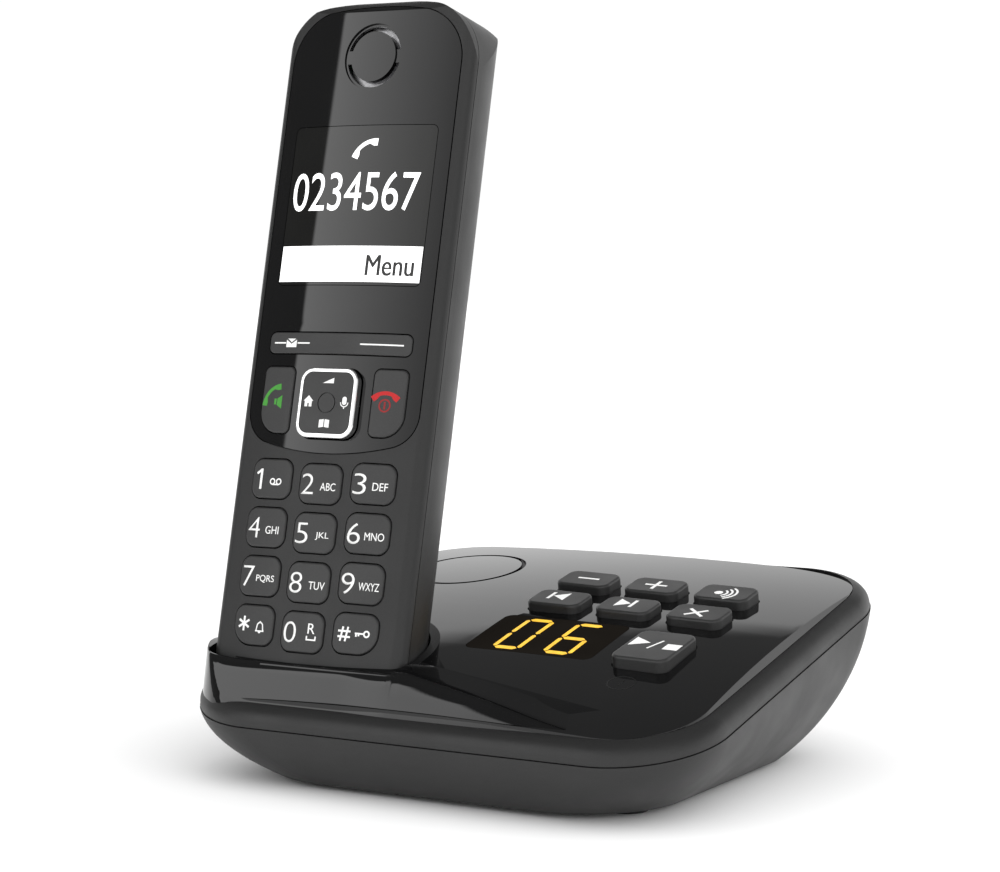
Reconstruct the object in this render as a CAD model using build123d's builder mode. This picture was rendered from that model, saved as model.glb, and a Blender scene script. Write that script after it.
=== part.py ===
"""Cordless phone: a handset standing in the cradle of an answering-machine base.

Millimetres. X to the right, Y to the back, Z up. The origin is on the table under the middle of the base.
The handset has its own frame: u across, v along its length from the first key row, depth into the front.
"""
import os
from math import cos, radians, sin, sqrt, tan

from build123d import *

# Base housing
base_width = 126.0
base_depth = 114.0
base_corner = 22.0
seam_height = 25.0
seam_tilt = 11.86
foot_height = 1.2
foot_inset_side = 15.0
foot_inset_front = 7.0
foot_inset_back = 15.0
base_wall = 2.2
seam_gap = 0.2
rim_height = 4.6
rim_inset = 3.7
rim_shoulder = 0.6
rim_shoulder_height = 2.5
fit_gap = 0.1

# Gloss cover: a crown curved along and across the base, with a lip round the cradle
crown_height = 33.8
crown_slope = 11.4
crown_radius = 500.0
crown_side_radius = 1000.0
crown_crest_x = -5.0
cover_wall = 2.4
cover_draft = 12.0
draft_rise = 21.0
lip_height = 11.6
lip_slope = 13.9
lip_right = 1.5
lip_depth = 14.6
lip_root = 1.2
ridge_x = 25.0
ridge_back = 2.0
ridge_height = 5.2
crease_x = 43.0
crease_back = 13.4
crease_height = 8.3
ramp_front_inset = 8.8
ramp_side_inset = 4.6
ramp_rise = 12.0
ramp_corner = 14.0

# Handset housing
handset_from_left = 30.96
handset_from_front = 17.2
handset_rise = 51.97
handset_lean = 13.0
handset_width = 49.0
handset_top = 108.5
handset_foot = 48.0
handset_depth = 24.5
depth_at_top = 19.0
depth_at_foot = 22.0
deepest_v = 30.0
front_radius = 165.0
front_corner = 3.0
rear_corner = 18.0
rear_top_round = 12.5
rear_foot_round = 5.0
nose_round = 6.0
nose_lift = 0.05
top_crown_radius = 65.0
top_corner = 14.0
foot_corner = 8.0
handset_seam = 4.4
shell_wall = 1.8
front_wall = 2.2

# Front of the handset
fascia_thickness = 1.2
fascia_side = 2.6
fascia_top = 2.2
fascia_top_corner = 12.0
fascia_foot_v = 6.1
fascia_foot_radius = 65.0
fascia_foot_corner = 7.5
fascia_gap = 0.25
display_width = 36.6
display_low_v = 43.4
display_high_v = 78.9
display_corner = 1.2
earpiece_v = 94.7
earpiece_disc = 5.7
earpiece_slot = 1.2
earpiece_ring = 7.5
earpiece_dish = 0.5
earpiece_bridge = 3.0
mic_v = -41.4
mic_slot_width = 9.5
mic_slot_height = 0.9

# Handset keys
key_width = 10.7
key_height = 8.7
key_corner = 2.5
key_big_corner = 4.6
key_pitch_u = 13.09
key_pitch_v = 10.71
middle_column_drop = 0.65
key_proud = 0.45
key_edge = 0.4
key_gap = 0.25
flange_reach = 0.5
flange_gap = 0.2
flange_thickness = 0.8
key_travel = 0.5
travel_spare = 0.25
talk_u = 14.4
talk_v = 17.5
talk_width = 8.2
talk_height = 14.8
talk_corner = 1.5
talk_big_corner = 5.0
soft_key_width = 36.8
soft_key_v = 30.25
soft_key_height = 4.7
soft_key_corner = 1.5
soft_key_proud = 0.2
soft_key_pivot_width = 12.0
nav_v = 16.9
nav_width = 14.9
nav_height = 15.4
nav_corner = 3.2
nav_band = 0.9
nav_proud = 1.8
nav_floor = 1.9
nav_dimple = 2.3
nav_groove = 0.25
nav_hub = 1.6
nav_clear = 0.1
nav_plate = 11.0
nav_plate_thickness = 0.7
nav_post_travel = 0.4

# Inside the handset
board_top = 6.4
board_thickness = 1.2
board_side = 1.7
board_low_v = -42.0
board_high_v = 98.0
cell_radius = 5.1
cell_length = 44.4
cell_low_v = -13.2
cell_spacing = 11.0
bay_width = 31.0
bay_high_v = 41.5
bay_wall = 1.5
bay_floor = 1.2
cell_clear = 0.2
contact_plate = 0.6
battery_ledge = 1.5
boss_u = 13.0
boss_v = 37.3
boss_radius = 2.2
screw_shank = 0.9
screw_head = 1.9
screw_head_height = 1.3
ringer_v = 66.0
ringer_radius = 9.0
ringer_height = 6.0
slot_pitch = 2.6
slot_width = 14.0
slot_height = 1.1
charge_u = 9.0
charge_depth = 13.0
charge_strip_width = 3.2
charge_strip_length = 8.0
charge_strip_thickness = 0.4

# Cradle
cradle_gap = 0.5
cradle_wall = 2.0
cradle_floor_gap = 0.4
tip_width = 2.4
tip_length = 5.0
tip_gap = 0.05
tip_side_gap = 0.3
tip_flange = 0.6
tip_travel = 0.6
carrier_width = 26.0
carrier_depth = 12.0
carrier_wall = 1.6

# Keys and window of the base, on a plane that touches the crown at panel_x
panel_from_right = 43.5
panel_sag = 1.0
base_key_width = 13.2
base_key_height = 9.4
base_key_corner = 2.4
base_key_pitch = 17.3
base_key_rows = (19.3, 5.3)
base_key_proud = 1.9
base_key_edge = 0.6
base_key_travel = 0.6
play_v = -16.8
play_height = 17.0
window_a = -10.5
window_b = -13.2
window_width = 31.0
window_height = 20.5
window_corner = 2.0
window_thickness = 1.6
key_mat_thickness = 3.0
key_board_thickness = 1.6
key_board_width = 61.5
key_board_height = 52.0
key_board_b = 0.75
post_radius = 2.0
post_inset = 2.25

# Speaker of the base
speaker_from_left = 27.0
speaker_from_back = 28.0
speaker_ring = 14.0
speaker_slot = 1.1
speaker_groove = 1.4
speaker_radius = 12.5
speaker_height = 5.0

# Board, feet, sockets and screws of the base
base_board = (48.0, 54.0, 1.6)
base_board_middle = (22.0, -2.0)
base_board_height = 8.0
standoff_radius = 2.4
pad_radius = 5.0
pad_from_side = 24.0
pad_from_front = 23.0
pad_from_back = 33.0
screw_x_back = (28.0, -20.0)
screw_x_front = (29.0, 8.0)
screw_from_back = (24.0, 19.0)
screw_from_front = 16.0
pillar_radius = 3.4
base_screw_head = 2.6
base_screw_shank = 1.2
base_screw_head_height = 1.8
base_screw_reach = 9.0
socket_height = 17.0
socket_depth = 14.0
socket_wall = 1.4
socket_from_back = 8.4
line_x = -6.0
line_size = (12.8, 9.8)
power_x = 16.0
power_size = (10.8, 9.3)
socket_bore = 10.0

# Places and frames worked out from the sizes above
front_y = -base_depth / 2
seam_front_z = seam_height + front_y * tan(radians(seam_tilt))
handset_x = handset_from_left - base_width / 2
handset_y = front_y + handset_from_front
handset_z = seam_front_z + handset_rise
panel_x = base_width / 2 - panel_from_right
speaker_x = speaker_from_left - base_width / 2
speaker_y = base_depth / 2 - speaker_from_back
socket_face_y = base_depth / 2 - socket_from_back
pad_x = base_width / 2 - pad_from_side
pad_places = [(x, y) for x in (pad_x, -pad_x) for y in (front_y + pad_from_front, -front_y - pad_from_back)]
base_screw_places = [(x, -front_y - inset) for x, inset in zip(screw_x_back, screw_from_back)]
base_screw_places += [(x, front_y + screw_from_front) for x in screw_x_front]
lean = radians(handset_lean)
handset_origin = (handset_x, handset_y, handset_z)
up_handset = (0, sin(lean), cos(lean))
out_of_front = (0, -cos(lean), sin(lean))
front_plane = Plane(handset_origin, x_dir=(1, 0, 0), z_dir=out_of_front)
section_plane = Plane(handset_origin, x_dir=(1, 0, 0), z_dir=up_handset)
side_plane = Plane(handset_origin, x_dir=up_handset, z_dir=(1, 0, 0))
front_axis = Axis(handset_origin, out_of_front)
seam_up = (0, -sin(radians(seam_tilt)), cos(radians(seam_tilt)))
seam_plane = Plane((0, 0, seam_height), x_dir=(1, 0, 0), z_dir=seam_up)
crown_centre = (
    0,
    crown_radius * sin(radians(crown_slope)),
    crown_height - crown_radius * cos(radians(crown_slope)),
)
cover_inset = rim_inset + fit_gap
length_on_seam = base_depth / cos(radians(seam_tilt))


def crown_z(x, y):
    """Height of the cover's crowned top over a point of the table."""
    side_drop = crown_side_radius - sqrt(crown_side_radius**2 - (x - crown_crest_x) ** 2)
    reach = crown_radius - side_drop
    return crown_centre[2] + sqrt(reach**2 - (y - crown_centre[1]) ** 2)


def crown_plane(x, y):
    """Plane that touches the cover's top at a point of the table."""
    across = -(x - crown_crest_x) / crown_side_radius
    along = (crown_centre[1] - y) / crown_radius
    normal = Vector(-across, -along, sqrt(1 - along**2))
    return Plane((x, y, crown_z(x, y)), x_dir=(1, 0, across), z_dir=normal)


panel_plane = crown_plane(panel_x, 0)


def crown_solid(drop):
    """Everything under the crowned top, less a depth: a ring turned about an axis far under the base."""
    half = base_width
    reach = crown_radius - drop
    right = reach - crown_side_radius + sqrt(crown_side_radius**2 - (half - crown_crest_x) ** 2)
    left = reach - crown_side_radius + sqrt(crown_side_radius**2 - (half + crown_crest_x) ** 2)
    with BuildPart() as ring:
        with BuildSketch(Plane(crown_centre, x_dir=(1, 0, 0), z_dir=(0, 1, 0))):
            with BuildLine():
                ThreePointArc((half, right), (crown_crest_x, reach), (-half, left))
                Polyline((-half, left), (-half, crown_radius / 2), (half, crown_radius / 2), (half, right))
            make_face()
        revolve(axis=Axis(crown_centre, (1, 0, 0)))
    return ring.part


def cover_block(inset, drop, below):
    """Space under the cover's top, inset from its outline, from a depth under the seam plane upwards."""
    width = base_width - 2 * (cover_inset + inset)
    length = length_on_seam - 2 * (cover_inset + inset)
    corner = base_corner - cover_inset - inset
    with BuildPart() as block:
        with BuildSketch(seam_plane.offset(-below)):
            RectangleRounded(width, length, corner)
        extrude(amount=below + rim_height)
        with BuildSketch(seam_plane.offset(rim_height)):
            RectangleRounded(width, length, corner)
        extrude(amount=draft_rise, taper=cover_draft)
        add(crown_solid(drop), mode=Mode.INTERSECT)
    return block.part


def bowl(inset, bottom):
    """Bowl of the lower shell, from the tilted seam down to the flat foot, inset by a wall."""
    shares = ((0.0, 0.0), (0.30, 0.12), (0.62, 0.40), (1.0, 1.0))
    middle_y = (foot_inset_front - foot_inset_back) / 2
    with BuildPart() as form:
        for fall, share in shares:
            height = seam_height - fall * (seam_height - bottom)
            tilt = radians(seam_tilt) * (1 - fall)
            level = Plane(
                (0, middle_y * share, height + middle_y * share * tan(tilt)),
                x_dir=(1, 0, 0),
                z_dir=(0, -sin(tilt), cos(tilt)),
            )
            width = base_width - 2 * foot_inset_side * share - 2 * inset
            length = (base_depth - (foot_inset_front + foot_inset_back) * share) / cos(tilt) - 2 * inset
            with BuildSketch(level):
                RectangleRounded(width, length, base_corner - inset)
        loft()
    return form.part


def rear_depth(v):
    """Depth of the handset at a place along its length: the side profile is one arc through three depths."""
    low, high = -handset_foot - deepest_v, handset_top - deepest_v
    low_rise, high_rise = handset_depth - depth_at_foot, handset_depth - depth_at_top
    middle = (low**2 * high_rise - high**2 * low_rise + low_rise * high_rise * (low_rise - high_rise)) / (
        2 * (low * high_rise - high * low_rise)
    )
    radius_rise = (low**2 + low_rise**2 - 2 * middle * low) / (2 * low_rise)
    radius = sqrt(middle**2 + radius_rise**2)
    return handset_depth - radius_rise + sqrt(radius**2 - (v - deepest_v - middle) ** 2)


def handset_form(side, front, rear, end):
    """Handset body inset from its sides, front, rear and ends: section, front outline and side profile."""
    half = handset_width / 2 - side
    low = end - handset_foot
    high = handset_top - end
    front_edge = front_radius - sqrt((front_radius - front) ** 2 - half**2)
    deepest = handset_depth - rear
    shoulder = high - top_crown_radius + sqrt(top_crown_radius**2 - half**2)
    nose = nose_round - front
    nose_v = handset_top - nose_round
    nose_n = nose_lift - nose_round
    tip_v = nose_v + nose
    with BuildPart() as form:
        with BuildSketch(section_plane.offset(low)) as section:
            with BuildLine():
                ThreePointArc((-half, front_edge), (0, front), (half, front_edge))
                Polyline((half, front_edge), (half, deepest), (-half, deepest), (-half, front_edge))
            make_face()
            fillet(section.vertices().group_by(Axis.Y)[-1], rear_corner - side)
            fillet(section.vertices().group_by(Axis.Y)[0], front_corner - side)
        extrude(amount=high - low)
        with BuildSketch(front_plane) as outline:
            with BuildLine():
                Polyline((-half, shoulder), (-half, low), (half, low), (half, shoulder))
                ThreePointArc((half, shoulder), (0, high), (-half, shoulder))
            make_face()
            fillet(outline.vertices().group_by(Axis.Y)[-1], top_corner - side)
            fillet(outline.vertices().group_by(Axis.Y)[0], foot_corner - side)
        extrude(amount=2 * handset_depth, both=True, mode=Mode.INTERSECT)
        with BuildSketch(side_plane) as profile:
            with BuildLine():
                Polyline((low, rear - depth_at_foot), (low, nose_n + nose), (nose_v, nose_n + nose))
                RadiusArc((nose_v, nose_n + nose), (tip_v, nose_n), nose)
                Line((tip_v, nose_n), (tip_v, rear - depth_at_top))
                ThreePointArc(
                    (tip_v, rear - depth_at_top), (deepest_v, -deepest), (low, rear - depth_at_foot)
                )
            make_face()
            fillet(profile.vertices().group_by(Axis.Y)[0], rear_foot_round)
            upper_corners = profile.vertices().filter_by(lambda corner: corner.X > deepest_v)
            fillet(upper_corners.group_by(Axis.Y)[0], rear_top_round - rear)
        extrude(amount=handset_width, both=True, mode=Mode.INTERSECT)
    return form.part


def front_slab(upper, lower):
    """Slab between two depths that both follow the crowned front of the handset."""
    half = handset_width
    with BuildPart() as slab:
        with BuildSketch(section_plane):
            with BuildLine():
                outer = front_radius - upper
                inner = front_radius - lower
                outer_edge = front_radius - sqrt(outer**2 - half**2)
                inner_edge = front_radius - sqrt(inner**2 - half**2)
                ThreePointArc((-half, outer_edge), (0, upper), (half, outer_edge))
                Line((half, outer_edge), (half, inner_edge))
                ThreePointArc((half, inner_edge), (0, lower), (-half, inner_edge))
                Line((-half, inner_edge), (-half, outer_edge))
            make_face()
        extrude(amount=2 * handset_top, both=True)
    return slab.part


def crowned_plate(outline, upper, lower):
    """Plate of an outline between two depths that both follow the crowned front."""
    with BuildPart() as plate:
        add(outline.moved(Location(Vector(out_of_front) * -handset_depth)))
        extrude(amount=2 * handset_depth, dir=out_of_front)
        add(front_slab(upper, lower), mode=Mode.INTERSECT)
    return plate.part


def crowned_block(outline, upper, floor):
    """Block with a top that follows the crowned front at one depth and a flat floor at another."""
    with BuildPart() as block:
        add(outline.moved(Location(Vector(out_of_front) * -floor)))
        extrude(amount=floor + handset_depth, dir=out_of_front)
        add(front_slab(upper, upper + handset_depth), mode=Mode.INTERSECT)
    return block.part


def key_outline(plane, middle, width, height, corners, grow=0.0):
    """Rounded outline of a key with its own radius at each corner, lower left first, grown all round."""
    left, right = middle[0] - width / 2 - grow, middle[0] + width / 2 + grow
    low, high = middle[1] - height / 2 - grow, middle[1] + height / 2 + grow
    with BuildSketch(plane) as outline:
        with BuildLine():
            radii = [corner + grow for corner in corners]
            FilletPolyline((left, low), (right, low), (right, high), (left, high), radius=radii, close=True)
        make_face()
    return outline.sketch


def fascia_outline(grow):
    """Outline of the gloss panel: crowned top, straight sides and a bottom like a smile."""
    half = handset_width / 2 - fascia_side + grow
    high = handset_top - fascia_top + grow
    low = fascia_foot_v - grow
    shoulder = high - top_crown_radius + sqrt(top_crown_radius**2 - half**2)
    hip = low + fascia_foot_radius - sqrt(fascia_foot_radius**2 - half**2)
    with BuildSketch(front_plane) as outline:
        with BuildLine():
            Line((-half, shoulder), (-half, hip))
            ThreePointArc((-half, hip), (0, low), (half, hip))
            Line((half, hip), (half, shoulder))
            ThreePointArc((half, shoulder), (0, high), (-half, shoulder))
        make_face()
        fillet(outline.vertices().group_by(Axis.Y)[-1], fascia_top_corner + grow)
        fillet(outline.vertices().group_by(Axis.Y)[0], fascia_foot_corner + grow)
    return outline.sketch


def fascia_space(grow):
    """Space of the gloss panel in the front: everything within its outline down to its floor."""
    with BuildPart() as space:
        add(fascia_outline(grow))
        extrude(amount=handset_depth / 2, dir=out_of_front, both=True)
        add(handset_form(0, fascia_thickness, 0, 0), mode=Mode.SUBTRACT)
    return space.part


def cradle_prism(grow, low, high):
    """Prism along the handset with its section grown all round, for the cradle and its walls."""
    half = handset_width / 2 + grow
    front_edge = front_radius - sqrt((front_radius + grow) ** 2 - half**2)
    rear = handset_depth + grow
    with BuildPart() as prism:
        with BuildSketch(section_plane.offset(low)) as section:
            with BuildLine():
                ThreePointArc((-half, front_edge), (0, -grow), (half, front_edge))
                Polyline((half, front_edge), (half, rear), (-half, rear), (-half, front_edge))
            make_face()
            fillet(section.vertices().group_by(Axis.Y)[-1], rear_corner + grow)
            fillet(section.vertices().group_by(Axis.Y)[0], front_corner + grow)
        extrude(amount=high - low)
    return prism.part


# Depths of the key flanges, the rubber mat and the nest that they work in
flange_top = front_wall + flange_gap
flange_floor = flange_top + flange_thickness
mat_top = flange_floor + key_travel + travel_spare
cradle_floor = -handset_foot - cradle_floor_gap

# Where each handset key sits: name, centre, size and corner radii
plain = (key_corner,) * 4
key_places = {}
for place, name in enumerate(("1", "2", "3", "4", "5", "6", "7", "8", "9", "star", "0", "hash")):
    row, column = divmod(place, 3)
    middle = ((column - 1) * key_pitch_u, -row * key_pitch_v - (middle_column_drop if column == 1 else 0))
    corners = {"star": (key_big_corner,) + plain[1:], "hash": plain[:1] + (key_big_corner,) + plain[2:]}
    key_places["key_" + name] = (middle, key_width, key_height, corners.get(name, plain))
talk_corners = (talk_big_corner, talk_corner, talk_corner, talk_corner)
end_corners = (talk_corner, talk_big_corner, talk_corner, talk_corner)
key_places["talk_key"] = ((-talk_u, talk_v), talk_width, talk_height, talk_corners)
key_places["end_key"] = ((talk_u, talk_v), talk_width, talk_height, end_corners)
soft_place = ((0, soft_key_v), soft_key_width, soft_key_height, (soft_key_corner,) * 4)
nav_place = ((0, nav_v), nav_width, nav_height, (nav_corner,) * 4)
display_place = (
    (0, (display_low_v + display_high_v) / 2),
    display_width,
    display_high_v - display_low_v,
    (display_corner,) * 4,
)

# Whole bodies of the handset that the shells are cut from
handset_inside = handset_form(shell_wall, front_wall, shell_wall, shell_wall)
handset_outside = handset_form(0, 0, 0, 0)

# Battery bay: a box in the rear shell, its lid and the two cells
bay_front = rear_depth(cell_low_v) - shell_wall - 2 * cell_radius - 2 * cell_clear - bay_floor
bay_low_v = cell_low_v - cell_clear - contact_plate
bay_middle_v = (bay_low_v + bay_high_v) / 2
bay_length = bay_high_v - bay_low_v


def bay_prism(grow, front):
    """Box of the battery bay grown all round, from a depth out through the rear."""
    with BuildPart() as prism:
        with BuildSketch(front_plane.offset(-front)):
            with Locations((0, bay_middle_v)):
                RectangleRounded(bay_width + 2 * grow, bay_length + 2 * grow, battery_ledge + grow)
        extrude(amount=-handset_depth)
    return prism.part


# Front shell of the handset, with the nest for the gloss panel, the key openings and two screw bosses
with BuildPart() as handset_front_shell:
    add(handset_outside)
    split(bisect_by=front_plane.offset(-handset_seam), keep=Keep.TOP)
    add(handset_inside, mode=Mode.SUBTRACT)
    add(fascia_space(fascia_gap), mode=Mode.SUBTRACT)
    for middle, width, height, corners in [*key_places.values(), soft_place, nav_place, display_place]:
        add(key_outline(front_plane, middle, width, height, corners, key_gap))
    with BuildSketch(front_plane):
        with Locations((0, earpiece_v)):
            Circle(earpiece_ring)
        with Locations((0, mic_v)):
            SlotOverall(mic_slot_width, mic_slot_height)
    extrude(amount=handset_seam, dir=out_of_front, both=True, mode=Mode.SUBTRACT)
    with BuildSketch(front_plane.offset(-bay_front)):
        with Locations((-boss_u, boss_v), (boss_u, boss_v)):
            Circle(boss_radius)
            Circle(screw_shank, mode=Mode.SUBTRACT)
    extrude(amount=bay_front - front_wall)
handset_front_shell.part.label = "handset_front_shell"

# Rear shell of the handset, with the battery bay, the ringer slots and the nests of the charging strips
with BuildPart() as handset_rear_shell:
    add(handset_outside)
    split(bisect_by=front_plane.offset(-handset_seam - seam_gap), keep=Keep.BOTTOM)
    add(handset_inside, mode=Mode.SUBTRACT)
    bay_box = bay_prism(battery_ledge + bay_wall, bay_front)
    add(bay_box.intersect(handset_outside))
    add(bay_prism(0, bay_front + bay_floor), mode=Mode.SUBTRACT)
    lid_space = bay_prism(battery_ledge, bay_front + bay_floor).cut(handset_inside)
    add(lid_space, mode=Mode.SUBTRACT)
    with BuildSketch(front_plane.offset(-bay_front)):
        with Locations((-boss_u, boss_v), (boss_u, boss_v)):
            Circle(screw_shank + fit_gap)
    extrude(amount=-bay_floor, mode=Mode.SUBTRACT)
    with BuildSketch(front_plane.offset(-depth_at_top + shell_wall)):
        with Locations((0, ringer_v)):
            with GridLocations(0, slot_pitch, 1, 5):
                SlotOverall(slot_width, slot_height)
    extrude(amount=-handset_depth, mode=Mode.SUBTRACT)
    with BuildSketch(section_plane.offset(-handset_foot)):
        with Locations((-charge_u, charge_depth), (charge_u, charge_depth)):
            Rectangle(charge_strip_width, charge_strip_length)
    extrude(amount=charge_strip_thickness, mode=Mode.SUBTRACT)
handset_rear_shell.part.label = "handset_rear_shell"

# Lid of the battery bay, a piece of the rear wall
with BuildPart() as battery_cover:
    add(bay_prism(battery_ledge - fascia_gap, bay_front + bay_floor))
    add(handset_outside, mode=Mode.INTERSECT)
    add(handset_inside, mode=Mode.SUBTRACT)
battery_cover.part.label = "battery_cover"

# Gloss panel with openings for the display and the upper keys, and a slot round the earpiece disc that is
# bridged at its two sides
with BuildPart() as fascia_panel:
    add(fascia_space(0))
    add(handset_outside, mode=Mode.INTERSECT)
    for middle, width, height, corners in [
        key_places["talk_key"], key_places["end_key"], soft_place, nav_place, display_place
    ]:
        add(key_outline(front_plane, middle, width, height, corners, key_gap))
    with BuildSketch(front_plane):
        with Locations((0, earpiece_v)):
            Circle(earpiece_disc + earpiece_slot)
            Circle(earpiece_disc, mode=Mode.SUBTRACT)
            Rectangle(2 * earpiece_ring, earpiece_bridge, mode=Mode.SUBTRACT)
    extrude(amount=handset_seam, dir=out_of_front, both=True, mode=Mode.SUBTRACT)
    with BuildSketch(front_plane.offset(-earpiece_dish)):
        with Locations((0, earpiece_v)):
            Circle(earpiece_ring)
            Circle(earpiece_disc, mode=Mode.SUBTRACT)
    extrude(amount=handset_seam, mode=Mode.SUBTRACT)
fascia_panel.part.label = "fascia_panel"

# Clear window of the display and the display module behind it
display_window = crowned_plate(
    key_outline(front_plane, *display_place[:3], display_place[3], fit_gap), 0, fascia_thickness + fit_gap
)
display_window.label = "display_window"
display_module = crowned_block(
    key_outline(front_plane, *display_place, battery_ledge), front_wall + fit_gap, board_top
)
display_module.label = "display_module"

# Keys of the handset: a cap through the front and a flange that holds it in
handset_keys = {}
for name, (middle, width, height, corners) in key_places.items():
    with BuildPart() as handset_key:
        add(crowned_plate(key_outline(front_plane, middle, width, height, corners), -key_proud, flange_floor))
        fillet(handset_key.faces().sort_by(front_axis)[-1].edges(), key_edge)
        flange = key_outline(front_plane, middle, width, height, corners, key_gap + flange_reach)
        add(crowned_plate(flange, flange_top, flange_floor))
    handset_key.part.label = name
    handset_keys[name] = handset_key.part

# Long rocker under the display: a wide bar with a short flange at its pivot
with BuildPart() as soft_key_bar:
    add(crowned_plate(key_outline(front_plane, *soft_place), -soft_key_proud, flange_floor))
    fillet(soft_key_bar.faces().sort_by(front_axis)[-1].edges(), soft_key_proud)
    pivot_height = soft_key_height + 2 * (key_gap + flange_reach)
    pivot = key_outline(front_plane, soft_place[0], soft_key_pivot_width, pivot_height, soft_place[3])
    add(crowned_plate(pivot, flange_top, flange_floor))
soft_key_bar.part.label = "soft_key_bar"

# Navigation key: a chromed frame round a soft pad, on a rocking plate and a sprung post
inner_width = nav_width - 2 * nav_band
inner_height = nav_height - 2 * nav_band
inner_corners = (nav_corner - nav_band,) * 4
with BuildPart() as navigation_ring:
    add(key_outline(front_plane.offset(-nav_floor), *nav_place))
    extrude(amount=nav_floor + nav_proud, dir=out_of_front)
    fillet(navigation_ring.faces().sort_by(front_axis)[-1].edges(), key_edge)
    add(key_outline(front_plane.offset(-nav_floor), nav_place[0], inner_width, inner_height, inner_corners))
    extrude(amount=nav_floor + 2 * nav_proud, dir=out_of_front, mode=Mode.SUBTRACT)
navigation_ring.part.label = "navigation_ring"
with BuildPart() as navigation_pad:
    add(key_outline(front_plane.offset(-nav_floor), nav_place[0], inner_width, inner_height, inner_corners))
    extrude(amount=nav_floor + nav_proud - fit_gap, dir=out_of_front)
    with BuildSketch(front_plane.offset(nav_proud - fit_gap - nav_groove)):
        with Locations((0, nav_v)):
            Circle(nav_dimple)
            Circle(nav_dimple - nav_groove, mode=Mode.SUBTRACT)
    extrude(amount=nav_groove, mode=Mode.SUBTRACT)
    with BuildSketch(front_plane.offset(-nav_floor - nav_clear - fit_gap)):
        with Locations((0, nav_v)):
            Circle(nav_hub)
    extrude(amount=nav_clear + fit_gap)
navigation_pad.part.label = "navigation_pad"
plate_top = nav_floor + 2 * nav_clear + fit_gap
plate_floor = plate_top + nav_plate_thickness
with BuildPart() as navigation_plate:
    with BuildSketch(front_plane.offset(-plate_floor)):
        with Locations((0, nav_v)):
            RectangleRounded(nav_plate, nav_plate, nav_corner)
    extrude(amount=nav_plate_thickness)
    with BuildSketch(front_plane.offset(-plate_floor - nav_clear)):
        with Locations((0, nav_v)):
            Circle(nav_hub)
    extrude(amount=nav_clear)
navigation_plate.part.label = "navigation_plate"
post_top = plate_floor + 2 * nav_clear
with BuildPart() as navigation_post:
    with BuildSketch(front_plane.offset(-board_top + nav_post_travel + nav_clear)):
        with Locations((0, nav_v)):
            Circle(nav_hub)
    extrude(amount=board_top - nav_post_travel - nav_clear - post_top)
navigation_post.part.label = "navigation_post"

# Rubber mat under the keys, with a hole for the navigation post
mat_width = handset_width - 2 * (shell_wall + board_side)
mat_low_v = -3 * key_pitch_v - middle_column_drop - key_height / 2 - 2 * flange_reach
mat_high_v = boss_v - boss_radius - flange_reach
mat_place = ((0, (mat_low_v + mat_high_v) / 2), mat_width, mat_high_v - mat_low_v, plain)
with BuildPart() as keypad_mat:
    add(crowned_block(key_outline(front_plane, *mat_place), mat_top, board_top))
    with BuildSketch(front_plane.offset(-board_top)):
        with Locations((0, nav_v)):
            Circle(nav_hub + flange_reach)
    extrude(amount=board_top, mode=Mode.SUBTRACT)
keypad_mat.part.label = "keypad_mat"

# Circuit board of the handset, with holes for the screw bosses
with BuildPart() as handset_circuit_board:
    with BuildSketch(front_plane.offset(-board_top)):
        with Locations((0, (board_low_v + board_high_v) / 2)):
            RectangleRounded(mat_width, board_high_v - board_low_v, top_corner)
        with Locations((-boss_u, boss_v), (boss_u, boss_v)):
            Circle(boss_radius + key_gap, mode=Mode.SUBTRACT)
    extrude(amount=-board_thickness)
handset_circuit_board.part.label = "handset_circuit_board"

# Earpiece and microphone capsules between the front shell and the board
with BuildSketch(front_plane) as earpiece_circle:
    with Locations((0, earpiece_v)):
        Circle(earpiece_ring - key_gap)
with BuildPart() as earpiece_capsule:
    add(crowned_block(earpiece_circle.sketch, front_wall + fit_gap, board_top))
    with BuildSketch(front_plane.offset(-fascia_thickness - fit_gap)):
        with Locations((0, earpiece_v)):
            Circle(earpiece_disc)
    extrude(amount=-board_top + fascia_thickness + fit_gap)
earpiece_capsule.part.label = "earpiece_capsule"
with BuildSketch(front_plane) as microphone_circle:
    with Locations((0, mic_v)):
        Circle(nav_hub)
microphone = crowned_block(microphone_circle.sketch, front_wall + fit_gap, board_top)
microphone.label = "microphone"

# Two rechargeable cells in the bay, their end plates, and the ringer behind the slots
cell_depth = bay_front + bay_floor + cell_clear + cell_radius
with BuildPart() as battery_cells:
    with BuildSketch(section_plane.offset(cell_low_v)):
        with Locations((-cell_spacing / 2, cell_depth), (cell_spacing / 2, cell_depth)):
            Circle(cell_radius)
    extrude(amount=cell_length)
battery_cells.part.label = "battery_cells"
with BuildPart() as battery_contacts:
    for low in (cell_low_v - contact_plate, cell_low_v + cell_length):
        with BuildSketch(section_plane.offset(low)):
            with Locations((0, cell_depth)):
                Rectangle(2 * cell_spacing, 2 * cell_radius)
    extrude(amount=contact_plate)
battery_contacts.part.label = "battery_contacts"
ringer_front = rear_depth(ringer_v + ringer_radius) - shell_wall - cell_clear - ringer_height
with BuildPart() as ringer_speaker:
    with BuildSketch(front_plane.offset(-ringer_front)):
        with Locations((0, ringer_v)):
            Circle(ringer_radius)
    extrude(amount=-ringer_height)
ringer_speaker.part.label = "ringer_speaker"

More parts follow.
